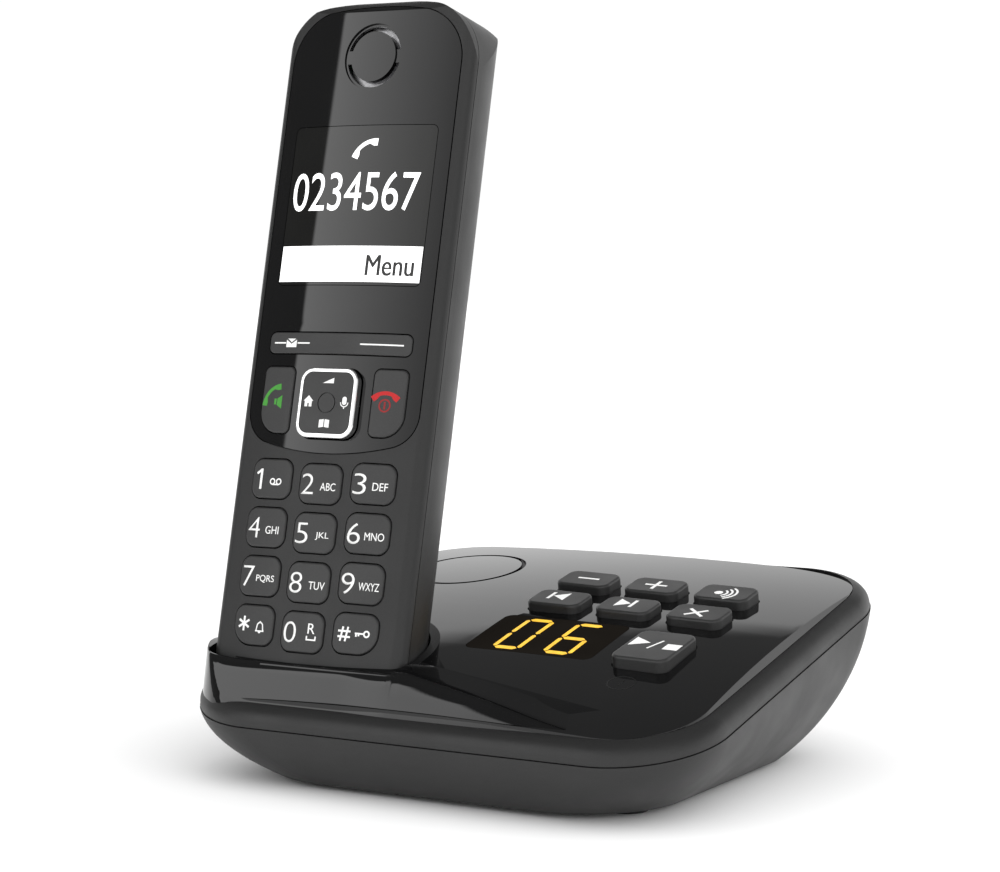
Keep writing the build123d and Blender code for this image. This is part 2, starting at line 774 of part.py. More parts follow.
# Charging strips in the foot of the handset, and the two screws in the battery bay
with BuildPart() as handset_charge_strips:
    with BuildSketch(section_plane.offset(-handset_foot)):
        with Locations((-charge_u, charge_depth), (charge_u, charge_depth)):
            Rectangle(charge_strip_width, charge_strip_length)
    extrude(amount=charge_strip_thickness)
handset_charge_strips.part.label = "handset_charge_strips"
with BuildPart() as handset_screws:
    with BuildSketch(front_plane.offset(-bay_front - bay_floor)):
        with Locations((-boss_u, boss_v), (boss_u, boss_v)):
            Circle(screw_head)
    extrude(amount=-screw_head_height)
    with BuildSketch(front_plane.offset(-bay_front - bay_floor)):
        with Locations((-boss_u, boss_v), (boss_u, boss_v)):
            Circle(screw_shank)
    extrude(amount=bay_floor + bay_front / 2)
handset_screws.part.label = "handset_screws"

# Lower shell of the base: a bowl with pillars for the screws, standoffs for the board and two socket holes
tub_reach = cradle_gap + cradle_wall + tip_side_gap
tub_clearance = cradle_prism(tub_reach, cradle_floor - cradle_wall - tip_side_gap, handset_z)
inside_bottom = foot_height + base_wall
board_x, board_y = base_board_middle
standoff_x = base_board[0] / 2 - standoff_radius
standoff_y = base_board[1] / 2 - standoff_radius
standoff_places = [
    (board_x + side * standoff_x, board_y + end * standoff_y) for side in (-1, 1) for end in (-1, 1)
]
with BuildPart() as base_bottom_shell:
    add(bowl(0, foot_height))
    add(bowl(base_wall, inside_bottom), mode=Mode.SUBTRACT)
    for x, y in base_screw_places:
        with BuildSketch(Plane.XY.offset(foot_height)):
            with Locations((x, y)):
                Circle(pillar_radius)
        extrude(amount=base_screw_reach)
    with BuildSketch(Plane.XY.offset(foot_height)):
        with Locations(*standoff_places):
            Circle(standoff_radius)
    extrude(amount=base_board_height - foot_height)
    with BuildSketch(Plane.XY.offset(foot_height)):
        with Locations(*base_screw_places):
            Circle(base_screw_head + fit_gap)
    extrude(amount=base_screw_head_height, mode=Mode.SUBTRACT)
    with BuildSketch(Plane.XY.offset(foot_height)):
        with Locations(*base_screw_places):
            Circle(base_screw_shank + fit_gap)
    extrude(amount=base_screw_reach, mode=Mode.SUBTRACT)
    for x, size in ((line_x, line_size), (power_x, power_size)):
        with BuildSketch(Plane.XZ.offset(-base_depth)):
            with Locations((x, socket_height)):
                Rectangle(size[0] + 2 * fit_gap, size[1] + 2 * fit_gap)
        extrude(amount=base_depth - socket_face_y + socket_depth, mode=Mode.SUBTRACT)
    add(tub_clearance, mode=Mode.SUBTRACT)
base_bottom_shell.part.label = "base_bottom_shell"

# Matt rim between the bowl and the gloss cover: a convex bevel that follows the seam
with BuildPart() as base_rim:
    rim_steps = ((seam_gap, seam_gap), (rim_shoulder_height, rim_shoulder), (rim_height, rim_inset))
    for height, inset in rim_steps:
        with BuildSketch(seam_plane.offset(height)):
            RectangleRounded(base_width - 2 * inset, length_on_seam - 2 * inset, base_corner - inset)
    loft()
    with BuildSketch(seam_plane):
        RectangleRounded(base_width - 2 * rim_inset, length_on_seam - 2 * rim_inset, base_corner - rim_inset)
    extrude(amount=2 * rim_height, mode=Mode.SUBTRACT)
base_rim.part.label = "base_rim"

# Raised lip of the cradle: a sloping shelf in front of the handset that runs out to the right as a ridge
lip_front_z = seam_front_z + lip_height
lip_right_x = handset_x + handset_width / 2 + lip_right
root_z = seam_front_z + lip_root
lip_back_y = front_y + lip_depth
lip_plane = Plane(
    (0, front_y, lip_front_z), x_dir=(1, 0, 0), z_dir=(0, -sin(radians(lip_slope)), cos(radians(lip_slope)))
)
lip_back_z = lip_front_z + lip_depth * tan(radians(lip_slope))
lip_section = [(front_y, root_z), (lip_back_y, root_z), (lip_back_y, lip_back_z), (front_y, lip_front_z)]
with BuildPart() as cradle_lip:
    with BuildSketch(Plane.YZ.offset(-base_width / 2)):
        Polygon(*lip_section, align=None)
    extrude(amount=base_width / 2 + lip_right_x)
ridge_end = Vector(ridge_x, front_y + ridge_back, 0)
crease_end = Vector(crease_x, front_y + crease_back, 0)
with BuildPart() as lip_ridge:
    with BuildSketch(Plane.YZ.offset(lip_right_x)):
        Polygon(*lip_section, align=None)
    run = crease_end - ridge_end
    with BuildSketch(Plane(ridge_end, x_dir=run, z_dir=run.cross(Vector(0, 0, 1)))):
        Polygon(
            (0, root_z),
            (run.length, root_z),
            (run.length, seam_front_z + crease_height),
            (0, seam_front_z + ridge_height),
            align=None,
        )
    loft(ruled=True)
with BuildPart() as ramp_block:
    foot_width = base_width - 2 * cover_inset
    foot_length = length_on_seam - 2 * cover_inset
    with BuildSketch(seam_plane):
        RectangleRounded(foot_width, foot_length, base_corner - cover_inset)
    extrude(amount=rim_height)
    with BuildSketch(seam_plane.offset(rim_height)):
        RectangleRounded(foot_width, foot_length, base_corner - cover_inset)
    with BuildSketch(seam_plane.offset(rim_height + ramp_rise)):
        with Locations((0, ramp_front_inset / 2)):
            RectangleRounded(foot_width - 2 * ramp_side_inset, foot_length - ramp_front_inset, ramp_corner)
    loft(ruled=True)
cradle_tub = cradle_prism(cradle_gap + cradle_wall, cradle_floor - cradle_wall, handset_z)
with BuildPart() as cradle_collar:
    add(cradle_tub)
    split(bisect_by=lip_plane, keep=Keep.BOTTOM)
    split(bisect_by=seam_plane, keep=Keep.TOP)
    add(ramp_block.part, mode=Mode.INTERSECT)
with BuildPart() as lip_form:
    add([cradle_lip.part, lip_ridge.part])
    add(ramp_block.part, mode=Mode.INTERSECT)

# Gloss cover of the base: a crowned shell with the cradle, the key openings and the speaker ring
flange_under = cover_wall + panel_sag
mat_under = flange_under + flange_thickness + base_key_travel + travel_spare
board_under = mat_under + key_mat_thickness
base_key_places = {}
back_row = ("volume_down_key", "volume_up_key", "paging_key")
middle_row = ("skip_back_key", "skip_forward_key", "delete_key")
for names, b in zip((back_row, middle_row), base_key_rows):
    for column, name in enumerate(names):
        middle = ((column - 1) * base_key_pitch, b)
        base_key_places[name] = (middle, base_key_width, base_key_height)
base_key_places["play_stop_key"] = ((base_key_pitch, play_v), base_key_width, play_height)
base_corners = (base_key_corner,) * 4
window_place = ((window_a, window_b), window_width, window_height, (window_corner,) * 4)
speaker_plane = crown_plane(speaker_x, speaker_y)
with BuildPart() as base_top_cover:
    add(cover_block(0, 0, 0))
    add(lip_form.part)
    add(cover_block(cover_wall, cover_wall, base_wall), mode=Mode.SUBTRACT)
    for x, y in base_screw_places:
        with BuildSketch(Plane.XY.offset(foot_height + base_screw_reach)):
            with Locations((x, y)):
                Circle(pillar_radius)
        extrude(amount=crown_z(x, y) - cover_wall / 2 - foot_height - base_screw_reach)
        with BuildSketch(Plane.XY.offset(foot_height + base_screw_reach)):
            with Locations((x, y)):
                Circle(base_screw_shank)
        extrude(amount=base_screw_reach, mode=Mode.SUBTRACT)
    with BuildSketch(panel_plane.offset(-board_under)):
        with Locations((0, key_board_b)):
            with GridLocations(key_board_width - 2 * post_inset, key_board_height - 2 * post_inset, 2, 2):
                Circle(post_radius)
    extrude(amount=board_under - cover_wall / 2)
    add(cradle_tub.intersect(cover_block(0, 0, seam_height)))
    add(cradle_collar.part)
    add(cradle_prism(cradle_gap, cradle_floor, handset_z), mode=Mode.SUBTRACT)
    for middle, width, height in base_key_places.values():
        add(key_outline(panel_plane, middle, width, height, base_corners, key_gap))
    add(key_outline(panel_plane, *window_place, fit_gap))
    extrude(amount=2 * cover_wall, dir=panel_plane.z_dir, both=True, mode=Mode.SUBTRACT)
    with BuildSketch(speaker_plane.offset(-speaker_groove)):
        Circle(speaker_ring)
        Circle(speaker_ring - speaker_slot, mode=Mode.SUBTRACT)
    extrude(amount=cover_wall, mode=Mode.SUBTRACT)
    with BuildSketch(section_plane.offset(cradle_floor)):
        with Locations((-charge_u, charge_depth), (charge_u, charge_depth)):
            Rectangle(tip_width + 2 * tip_side_gap, tip_length + 2 * tip_side_gap)
    extrude(amount=-cradle_wall, mode=Mode.SUBTRACT)
base_top_cover.part.label = "base_top_cover"

# Keys of the base, each a cap with a flange, their rubber mat and the board under it
base_keys = {}
panel_axis = Axis(panel_plane.origin, panel_plane.z_dir)
flange_plane = panel_plane.offset(-flange_under - flange_thickness)
for name, (middle, width, height) in base_key_places.items():
    with BuildPart() as base_key:
        add(key_outline(flange_plane, middle, width, height, base_corners))
        extrude(amount=base_key_proud + flange_under + flange_thickness, dir=panel_plane.z_dir)
        fillet(base_key.faces().sort_by(panel_axis)[-1].edges(), base_key_edge)
        add(key_outline(flange_plane, middle, width, height, base_corners, key_gap + flange_reach))
        extrude(amount=flange_thickness, dir=panel_plane.z_dir)
    base_key.part.label = name
    base_keys[name] = base_key.part
mat_left = -base_key_pitch - base_key_width / 2 - flange_reach
mat_right = base_key_pitch + base_key_width / 2 + flange_reach
mat_back = base_key_rows[0] + base_key_height / 2 + flange_reach
mat_middle = base_key_rows[1] - base_key_height / 2 - flange_reach
mat_front = play_v - play_height / 2 - flange_reach
mat_step = base_key_pitch - base_key_width / 2 - flange_reach
with BuildPart() as base_key_mat:
    with BuildSketch(panel_plane.offset(-board_under)):
        with BuildLine():
            Polyline(
                (mat_left, mat_back), (mat_left, mat_middle), (mat_step, mat_middle), (mat_step, mat_front),
                (mat_right, mat_front), (mat_right, mat_back), close=True,
            )
        make_face()
    extrude(amount=key_mat_thickness)
base_key_mat.part.label = "base_key_mat"
with BuildPart() as base_key_board:
    with BuildSketch(panel_plane.offset(-board_under)):
        with Locations((0, key_board_b)):
            Rectangle(key_board_width, key_board_height)
    extrude(amount=-key_board_thickness)
base_key_board.part.label = "base_key_board"

# Window of the counter, flush with the cover, and the two-digit display behind it
with BuildPart() as led_window:
    add(key_outline(panel_plane.offset(-window_thickness), *window_place))
    extrude(amount=2 * window_thickness, dir=panel_plane.z_dir)
    add(crown_solid(0), mode=Mode.INTERSECT)
led_window.part.label = "led_window"
with BuildPart() as led_display:
    digit_size = (window_width - window_corner, window_height - window_corner)
    add(key_outline(panel_plane.offset(-board_under), window_place[0], *digit_size, base_corners))
    extrude(amount=board_under - window_thickness - fit_gap, dir=panel_plane.z_dir)
led_display.part.label = "led_display"

# Loudspeaker under the ring of the cover
with BuildPart() as base_speaker:
    with BuildSketch(speaker_plane.offset(-cover_wall - tip_side_gap)):
        Circle(speaker_radius)
    extrude(amount=-speaker_height)
base_speaker.part.label = "base_speaker"

# Sprung charging tips in the cradle floor and the carrier that holds them
tip_top = -handset_foot - tip_gap
tip_floor = cradle_floor - cradle_wall - tip_side_gap - tip_flange
with BuildPart() as base_charge_tips:
    with BuildSketch(section_plane.offset(tip_floor)):
        with Locations((-charge_u, charge_depth), (charge_u, charge_depth)):
            Rectangle(tip_width, tip_length)
    extrude(amount=tip_top - tip_floor)
    with BuildSketch(section_plane.offset(tip_floor)):
        with Locations((-charge_u, charge_depth), (charge_u, charge_depth)):
            Rectangle(tip_width + 4 * tip_side_gap, tip_length + 4 * tip_side_gap)
    extrude(amount=tip_flange)
base_charge_tips.part.label = "base_charge_tips"
carrier_floor = tip_floor - tip_travel - tip_side_gap
with BuildPart() as contact_carrier:
    with BuildSketch(section_plane.offset(carrier_floor - carrier_wall)):
        with Locations((0, charge_depth)):
            Rectangle(carrier_width, carrier_depth)
    extrude(amount=cradle_floor - cradle_wall - carrier_floor + carrier_wall)
    with BuildSketch(section_plane.offset(carrier_floor)):
        with Locations((0, charge_depth)):
            Rectangle(carrier_width - 2 * carrier_wall, carrier_depth - 2 * carrier_wall)
    extrude(amount=carrier_depth, mode=Mode.SUBTRACT)
contact_carrier.part.label = "contact_carrier"

# Main board of the base, rubber feet and housing screws
with BuildPart() as base_circuit_board:
    with BuildSketch(Plane.XY.offset(base_board_height)):
        with Locations(base_board_middle):
            Rectangle(base_board[0], base_board[1])
    extrude(amount=base_board[2])
base_circuit_board.part.label = "base_circuit_board"
with BuildPart() as base_feet:
    with BuildSketch(Plane.XY):
        with Locations(*pad_places):
            Circle(pad_radius)
    extrude(amount=foot_height)
    chamfer(base_feet.edges().group_by(Axis.Z)[0], foot_height / 4)
base_feet.part.label = "base_feet"
with BuildPart() as base_screws:
    head_bottom = foot_height + base_screw_head_height / 4
    with BuildSketch(Plane.XY.offset(head_bottom)):
        with Locations(*base_screw_places):
            Circle(base_screw_head)
    extrude(amount=foot_height + base_screw_head_height - head_bottom)
    with BuildSketch(Plane.XY.offset(head_bottom)):
        with Locations(*base_screw_places):
            Circle(base_screw_shank)
    extrude(amount=2 * base_screw_reach - base_screw_head_height - foot_height)
base_screws.part.label = "base_screws"

# Sockets for the line and the power supply in the back of the bowl
sockets = {}
for name, x, size in (("line_socket", line_x, line_size), ("power_socket", power_x, power_size)):
    with BuildPart() as socket:
        with BuildSketch(Plane.XZ.offset(-socket_face_y)):
            with Locations((x, socket_height)):
                Rectangle(*size)
        extrude(amount=socket_depth)
        with BuildSketch(Plane.XZ.offset(-socket_face_y)):
            with Locations((x, socket_height)):
                Rectangle(size[0] - 2 * socket_wall, size[1] - 2 * socket_wall)
        extrude(amount=socket_bore, mode=Mode.SUBTRACT)
    socket.part.label = name
    sockets[name] = socket.part

# One file for each piece
pieces = [
    handset_front_shell.part, handset_rear_shell.part, battery_cover.part, fascia_panel.part, display_window,
    display_module, *handset_keys.values(), soft_key_bar.part, navigation_ring.part, navigation_pad.part,
    navigation_plate.part, navigation_post.part, keypad_mat.part, handset_circuit_board.part,
    earpiece_capsule.part, microphone, battery_cells.part, battery_contacts.part, ringer_speaker.part,
    handset_charge_strips.part, handset_screws.part, base_bottom_shell.part, base_rim.part,
    base_top_cover.part, *base_keys.values(), base_key_mat.part, base_key_board.part, led_window.part,
    led_display.part, base_speaker.part, base_charge_tips.part, contact_carrier.part,
    base_circuit_board.part, base_feet.part, base_screws.part, *sockets.values(),
]
os.makedirs("parts", exist_ok=True)
for piece in pieces:
    export_step(piece, f"parts/{piece.label}.step")
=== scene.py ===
"""Cordless phone: looks of the handset and its answering-machine base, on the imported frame."""
from math import cos, radians, sin, sqrt

import bmesh
import bpy
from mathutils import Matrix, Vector


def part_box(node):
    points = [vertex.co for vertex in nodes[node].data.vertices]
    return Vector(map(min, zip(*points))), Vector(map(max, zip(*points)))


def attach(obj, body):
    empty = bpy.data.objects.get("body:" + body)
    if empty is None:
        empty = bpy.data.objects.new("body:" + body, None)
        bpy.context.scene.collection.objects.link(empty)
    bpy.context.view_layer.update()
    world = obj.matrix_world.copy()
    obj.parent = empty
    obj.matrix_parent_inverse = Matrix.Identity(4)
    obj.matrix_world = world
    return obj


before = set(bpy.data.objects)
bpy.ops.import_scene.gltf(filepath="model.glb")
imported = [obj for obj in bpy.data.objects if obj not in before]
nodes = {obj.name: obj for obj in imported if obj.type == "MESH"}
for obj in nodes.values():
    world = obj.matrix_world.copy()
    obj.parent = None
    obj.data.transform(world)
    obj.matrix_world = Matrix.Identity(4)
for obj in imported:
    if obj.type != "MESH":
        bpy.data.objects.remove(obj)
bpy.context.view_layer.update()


# Lower shell and rim of the base: injection-moulded black plastic with a fine spark-eroded grain. The
# shell is screwed on from below, and a narrow shadow gap runs round between it and the rim.
def link(tree, source, socket, target, name):
    """Joins a socket of one shader node to a named socket of another."""
    tree.links.new(source.outputs[socket], target.inputs[name])


def shader(name, **settings):
    """A new material, its node tree and its main shader, with plain settings on the shader's own sockets."""
    material = bpy.data.materials.new(name)
    material.use_nodes = True
    tree = material.node_tree
    main = tree.nodes["Principled BSDF"]
    for setting, value in settings.items():
        main.inputs[setting.replace("_", " ")].default_value = value
    return material, tree, main


def noise(tree, size, detail=2.0):
    """Noise in object space whose blotches are about one size, in metres."""
    place = tree.nodes.new("ShaderNodeTexCoord")
    pattern = tree.nodes.new("ShaderNodeTexNoise")
    pattern.inputs["Scale"].default_value = 1 / size
    pattern.inputs["Detail"].default_value = detail
    link(tree, place, "Object", pattern, "Vector")
    return pattern


pattern_low = 0.3
pattern_high = 0.7


def between(tree, pattern, low, high, target, name):
    """Sends a pattern to a shader socket, spread between two values or two colours."""
    if isinstance(low, tuple):
        ramp = tree.nodes.new("ShaderNodeValToRGB")
        ramp.color_ramp.elements[0].color = (*low, 1)
        ramp.color_ramp.elements[1].color = (*high, 1)
        ramp.color_ramp.elements[0].position = pattern_low
        ramp.color_ramp.elements[1].position = pattern_high
        link(tree, pattern, "Fac", ramp, "Fac")
        link(tree, ramp, "Color", target, name)
    else:
        spread = tree.nodes.new("ShaderNodeMapRange")
        spread.inputs["From Min"].default_value = pattern_low
        spread.inputs["From Max"].default_value = pattern_high
        spread.inputs["To Min"].default_value = low
        spread.inputs["To Max"].default_value = high
        link(tree, pattern, "Fac", spread, "Value")
        link(tree, spread, "Result", target, name)


def bumps(tree, pattern, main, depth, strength):
    """Raises a pattern from a surface by a depth in metres."""
    bump = tree.nodes.new("ShaderNodeBump")
    bump.inputs["Strength"].default_value = strength
    bump.inputs["Distance"].default_value = depth
    link(tree, pattern, "Fac", bump, "Height")
    link(tree, bump, "Normal", main, "Normal")


grain_strength = 0.35
shade_spread = 0.15
sheen_blotch = 0.012
sheen_spread = 0.05


def moulded_plastic(name, shade, roughness, grain, depth, tint=(1.0, 1.0, 1.0)):
    """Plastic with a moulded grain: small bumps, and a little change in shade and roughness."""
    material, tree, main = shader(name)
    fine = noise(tree, grain)
    bumps(tree, fine, main, depth, grain_strength)
    dark = tuple(shade * part * (1 - shade_spread) for part in tint)
    light = tuple(shade * part * (1 + shade_spread) for part in tint)
    between(tree, fine, dark, light, main, "Base Color")
    sheen = noise(tree, sheen_blotch)
    between(tree, sheen, roughness - sheen_spread, roughness + sheen_spread, main, "Roughness")
    return material


def dress(material, *names):
    """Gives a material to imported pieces."""
    for name in names:
        for place in nodes[name].material_slots:
            place.material = material


housing_black = moulded_plastic("housing_black", shade=0.012, roughness=0.46, grain=0.0003, depth=0.00004)
dress(housing_black, "base_bottom_shell", "base_rim")


# Feet and rubber mats: soft black rubber. The feet are glued under the shell, and the mats lie between the
# keys and their boards.
foot_rubber = moulded_plastic("foot_rubber", shade=0.015, roughness=0.8, grain=0.0006, depth=0.00005)
dress(foot_rubber, "base_feet", "base_key_mat", "keypad_mat")


# Screws: zinc-plated steel. Four are sunk in the bottom of the base and hold its shell, and two in the
# battery bay hold the halves of the handset together.
metal_dark_share = 0.85
metal_polish_spread = 0.3


def brushed_metal(name, colour, roughness, streak):
    """Plated metal with a fine uneven polish."""
    material, tree, main = shader(name, Metallic=1.0)
    pattern = noise(tree, streak, detail=4.0)
    dark = tuple(value * metal_dark_share for value in colour)
    between(tree, pattern, dark, colour, main, "Base Color")
    sharp, dull = roughness * (1 - metal_polish_spread), roughness * (1 + metal_polish_spread)
    between(tree, pattern, sharp, dull, main, "Roughness")
    return material


zinc = brushed_metal("zinc_plate", colour=(0.6, 0.6, 0.58), roughness=0.3, streak=0.0008)
dress(zinc, "base_screws", "handset_screws")


# Circuit boards: glass-fibre boards under green lacquer, with copper tracks that show through as paler
# lines. They stand on posts and standoffs of the shells.
def board_green():
    """Green lacquer over a square pattern of copper tracks."""
    material, tree, main = shader("board_green", Roughness=0.35)
    place = tree.nodes.new("ShaderNodeTexCoord")
    tracks = tree.nodes.new("ShaderNodeTexBrick")
    tracks.inputs["Scale"].default_value = 160.0
    tracks.inputs["Mortar Size"].default_value = 0.035
    tracks.inputs["Color1"].default_value = (0.008, 0.06, 0.02, 1)
    tracks.inputs["Color2"].default_value = (0.012, 0.08, 0.03, 1)
    tracks.inputs["Mortar"].default_value = (0.05, 0.19, 0.07, 1)
    link(tree, place, "Object", tracks, "Vector")
    link(tree, tracks, "Color", main, "Base Color")
    bumps(tree, tracks, main, depth=0.00003, strength=0.5)
    return material


dress(board_green(), "base_circuit_board", "base_key_board", "handset_circuit_board")


# Sockets of the base, carrier of the charging tips and the hidden seat of the navigation key: plain black
# plastic mouldings, with a shallower grain than the shells.
socket_black = moulded_plastic("socket_black", shade=0.02, roughness=0.4, grain=0.0006, depth=0.00003)
dress(socket_black, "line_socket", "power_socket", "contact_carrier", "navigation_plate", "navigation_post")


# Loudspeakers, earpiece and microphone: pressed steel cans, dull from plating. They sit inside the two
# housings and hardly show.
can_steel = brushed_metal("can_steel", colour=(0.45, 0.45, 0.46), roughness=0.38, streak=0.0012)
dress(can_steel, "base_speaker", "ringer_speaker", "earpiece_capsule", "microphone")


# Charging contacts and battery springs: nickel-plated bronze, bright where they rub. The tips in the cradle
# are sprung and meet the two strips in the foot of the handset.
nickel = brushed_metal("nickel_plate", colour=(0.72, 0.68, 0.6), roughness=0.22, streak=0.0006)
dress(nickel, "base_charge_tips", "handset_charge_strips", "battery_contacts")


# Two rechargeable cells in the bay under the battery cover: steel cans, each in a shrunk sleeve of green
# plastic.
cell_green = (0.35, 1.0, 0.55)
cell_sleeve = moulded_plastic(
    "cell_sleeve", shade=0.22, roughness=0.35, grain=0.0015, depth=0.00002, tint=cell_green
)
dress(cell_sleeve, "battery_cells")


# Gloss cover of the base: polished piano-black plastic, clipped into its frame, with only faint differences
# in its polish.
polish_blotch = 0.02
piano_shades = (0.0012, 0.0012, 0.0013), (0.002, 0.002, 0.0022)
piano_roughness = 0.02, 0.04


def polished_plastic(name, shades, roughness, **settings):
    """Polished plastic whose shade and roughness each run between two values."""
    material, tree, main = shader(name, IOR=1.5, **settings)
    polish = noise(tree, polish_blotch)
    between(tree, polish, *shades, main, "Base Color")
    between(tree, polish, *roughness, main, "Roughness")
    return material


piano_black = polished_plastic("piano_black", piano_shades, piano_roughness)
dress(piano_black, "base_top_cover")


# Collar of the cradle: a lip of the gloss cover that rises round the left of the handset's foot and runs on
# over the ramp and the ridge in front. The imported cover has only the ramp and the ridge, and they are
# sharper, so the lip and their rounded skin are made here as one band.
millimetre = 0.001
collar_stations = (
    # inner edge x and y, outer edge x and y, height of the top
    (-57.0, 4.0, -59.0, 4.0, 32.0),
    (-57.0, -10.0, -61.4, -10.0, 31.2),
    (-57.0, -22.0, -62.0, -22.0, 30.4),
    (-57.0, -32.0, -62.0, -32.0, 29.6),
    (-57.0, -40.0, -61.0, -41.0, 29.0),
    (-57.0, -44.5, -59.6, -45.4, 28.4),
    (-56.3, -47.7, -57.3, -48.9, 27.8),
    (-54.5, -49.0, -54.7, -51.5, 27.2),
    (-51.0, -49.4, -51.0, -53.9, 26.8),
    (-46.0, -49.4, -46.0, -54.7, 26.65),
    (-36.0, -49.4, -36.0, -54.9, 26.65),
    (-20.0, -49.4, -20.0, -54.9, 26.65),
    (-11.0, -49.4, -11.0, -54.9, 26.65),
    (-8.4, -48.9, -8.4, -54.9, 26.75),
    (-7.0, -46.9, -7.0, -54.9, 27.2),
    (-6.6, -44.4, -6.4, -54.9, 27.9),
    (-3.0, -44.2, -3.0, -54.9, 27.9),
    (5.0, -44.2, 5.0, -54.9, 27.9),
    (12.0, -44.4, 12.0, -54.9, 27.9),
    (20.0, -44.6, 20.0, -54.9, 27.9),
    (28.0, -44.8, 28.0, -54.9, 27.9),
    (36.0, -45.0, 36.0, -54.9, 27.9),
)
collar_steps = 8
collar_shares = (0.0, 0.04, 0.1, 0.2, 0.3, 0.4, 0.5, 0.6, 0.7, 0.8, 0.9, 1.0)
collar_depth = 3.0
collar_inner_drop = 0.4
collar_sharp_angle = radians(35)
base_corner = Vector((-41.0, -35.0))
base_corner_radius = 22.0
base_front = -57.0
corner_start, corner_length = -36.0, 7.0
wall_foot, wall_foot_rise = 15.7, 0.21
wall_set_back, wall_corner_swell = 1.0, 0.5
wall_steepness, wall_corner_steepness = 3.0, 6.0
wall_rounding, wall_corner_rounding = 3.5, 1.5
ramp_y, ramp_z, ramp_steepness = -51.0, 25.4, 2.2
ramp_swell, ramp_rounding = 0.26, 1.5
ridge_start, ridge_length, ridge_swell, ridge_rounding = -20.0, 14.0, 0.44, 1.0
ridge_y, ridge_z, ridge_rise = -49.4, 26.5, 0.26
ridge_fall_start, ridge_fall = -5.0, 0.16
ridge_end, ridge_end_length, ridge_end_sink = 12.0, 20.0, 0.6
foot_right = -8.0


def lower_of(first, second, softness):
    """The lower of two heights, rounded over where they meet."""
    near = max(softness - abs(first - second), 0) / softness
    return min(first, second) - near * near * softness / 4


def eased(share):
    """Smooth step from nought to one."""
    share = min(max(share, 0), 1)
    return share * share * (3 - 2 * share)


def collar_height(x, y, top):
    """Height of the collar: its top, cut by the ramp in front and by the outer wall round the corner."""
    beyond = Vector((min(x - base_corner.x, 0), min(y - base_corner.y, 0)))
    in_corner = min(max((corner_start - y) / corner_length, 0), 1)
    inside = base_corner_radius - beyond.length - wall_set_back + wall_corner_swell * in_corner
    steepness = wall_steepness + wall_corner_steepness * in_corner
    wall = wall_foot + wall_foot_rise * (y - base_front) + steepness * inside
    on_ridge = eased((x - ridge_start) / ridge_length)
    at_end = eased((x - ridge_end) / ridge_end_length)
    swell = ramp_swell + ridge_swell * on_ridge - ridge_end_sink * at_end
    ramp = ramp_z + ramp_steepness * (y - ramp_y) + swell
    if x > foot_right:
        ridge = ridge_z + ridge_rise * (y - ridge_y) - ridge_fall * max(0, x - ridge_fall_start)
        top = min(top, ridge + swell)
    front = lower_of(top, ramp, ramp_rounding + ridge_rounding * on_ridge)
    return lower_of(front, wall, wall_rounding - wall_corner_rounding * in_corner)


def through(points, steps):
    """Points on a smooth curve through some points."""
    ends = (points[0], *points, points[-1])
    curve = []
    for start, first, second, end in zip(ends, ends[1:], ends[2:], ends[3:]):
        for step in range(steps):
            t = step / steps
            curve.append([
                b + t * (c - a) / 2
                + t * t * (2 * a - 5 * b + 4 * c - d) / 2
                + t**3 * (3 * b - a - 3 * c + d) / 2
                for a, b, c, d in zip(start, first, second, end)
            ])
    return curve + [list(points[-1])]


def piece_of(name, form, material):
    """Makes a finished form a piece of the scene, in one material."""
    mesh = bpy.data.meshes.new(name)
    form.to_mesh(mesh)
    form.free()
    mesh.materials.append(material)
    piece = bpy.data.objects.new(name, mesh)
    bpy.context.scene.collection.objects.link(piece)
    return piece


collar = bmesh.new()
rows = []
for inner_x, inner_y, outer_x, outer_y, top in through(collar_stations, collar_steps):
    section = []
    for share in collar_shares:
        x, y = inner_x + (outer_x - inner_x) * share, inner_y + (outer_y - inner_y) * share
        drop = collar_inner_drop if share == 0 and x < foot_right else 0
        section.append((x, y, collar_height(x, y, top - drop)))
    foot = section[-1][2] - collar_depth
    section += [(outer_x, outer_y, foot), (inner_x, inner_y, foot)]
    rows.append([collar.verts.new(Vector(point) * millimetre) for point in section])
for row, after in zip(rows, rows[1:]):
    for place in range(len(row)):
        ahead = (place + 1) % len(row)
        collar.faces.new((row[place], row[ahead], after[ahead], after[place]))
collar.faces.new(rows[0])
collar.faces.new(rows[-1][::-1])
bmesh.ops.recalc_face_normals(collar, faces=collar.faces[:])
for face in collar.faces:
    face.smooth = len(face.verts) == 4
for edge in collar.edges:
    edge.smooth = edge.calc_face_angle(0) < collar_sharp_angle
cradle_collar = piece_of("cradle_collar", collar, piano_black)
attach(cradle_collar, "base")


# On-off sign in the cover, in front of the play key: a ring and a stroke, sunk as fine lines that stay dull
# in the gloss.
crown_height = 33.8
crown_slope = radians(11.4)
crown_radius = 500.0
crown_side_radius = 1000.0
crown_crest = -5.0


def crown_point(x, y, lift):
    """A point over the crowned cover, in metres, from its place on the table and its lift in millimetres."""
    reach = crown_radius - (x - crown_crest) ** 2 / (2 * crown_side_radius) + lift
    axis_y = crown_radius * sin(crown_slope)
    axis_z = crown_height - crown_radius * cos(crown_slope)
    return Vector((x, y, axis_z + sqrt(reach**2 - (y - axis_y) ** 2))) * millimetre


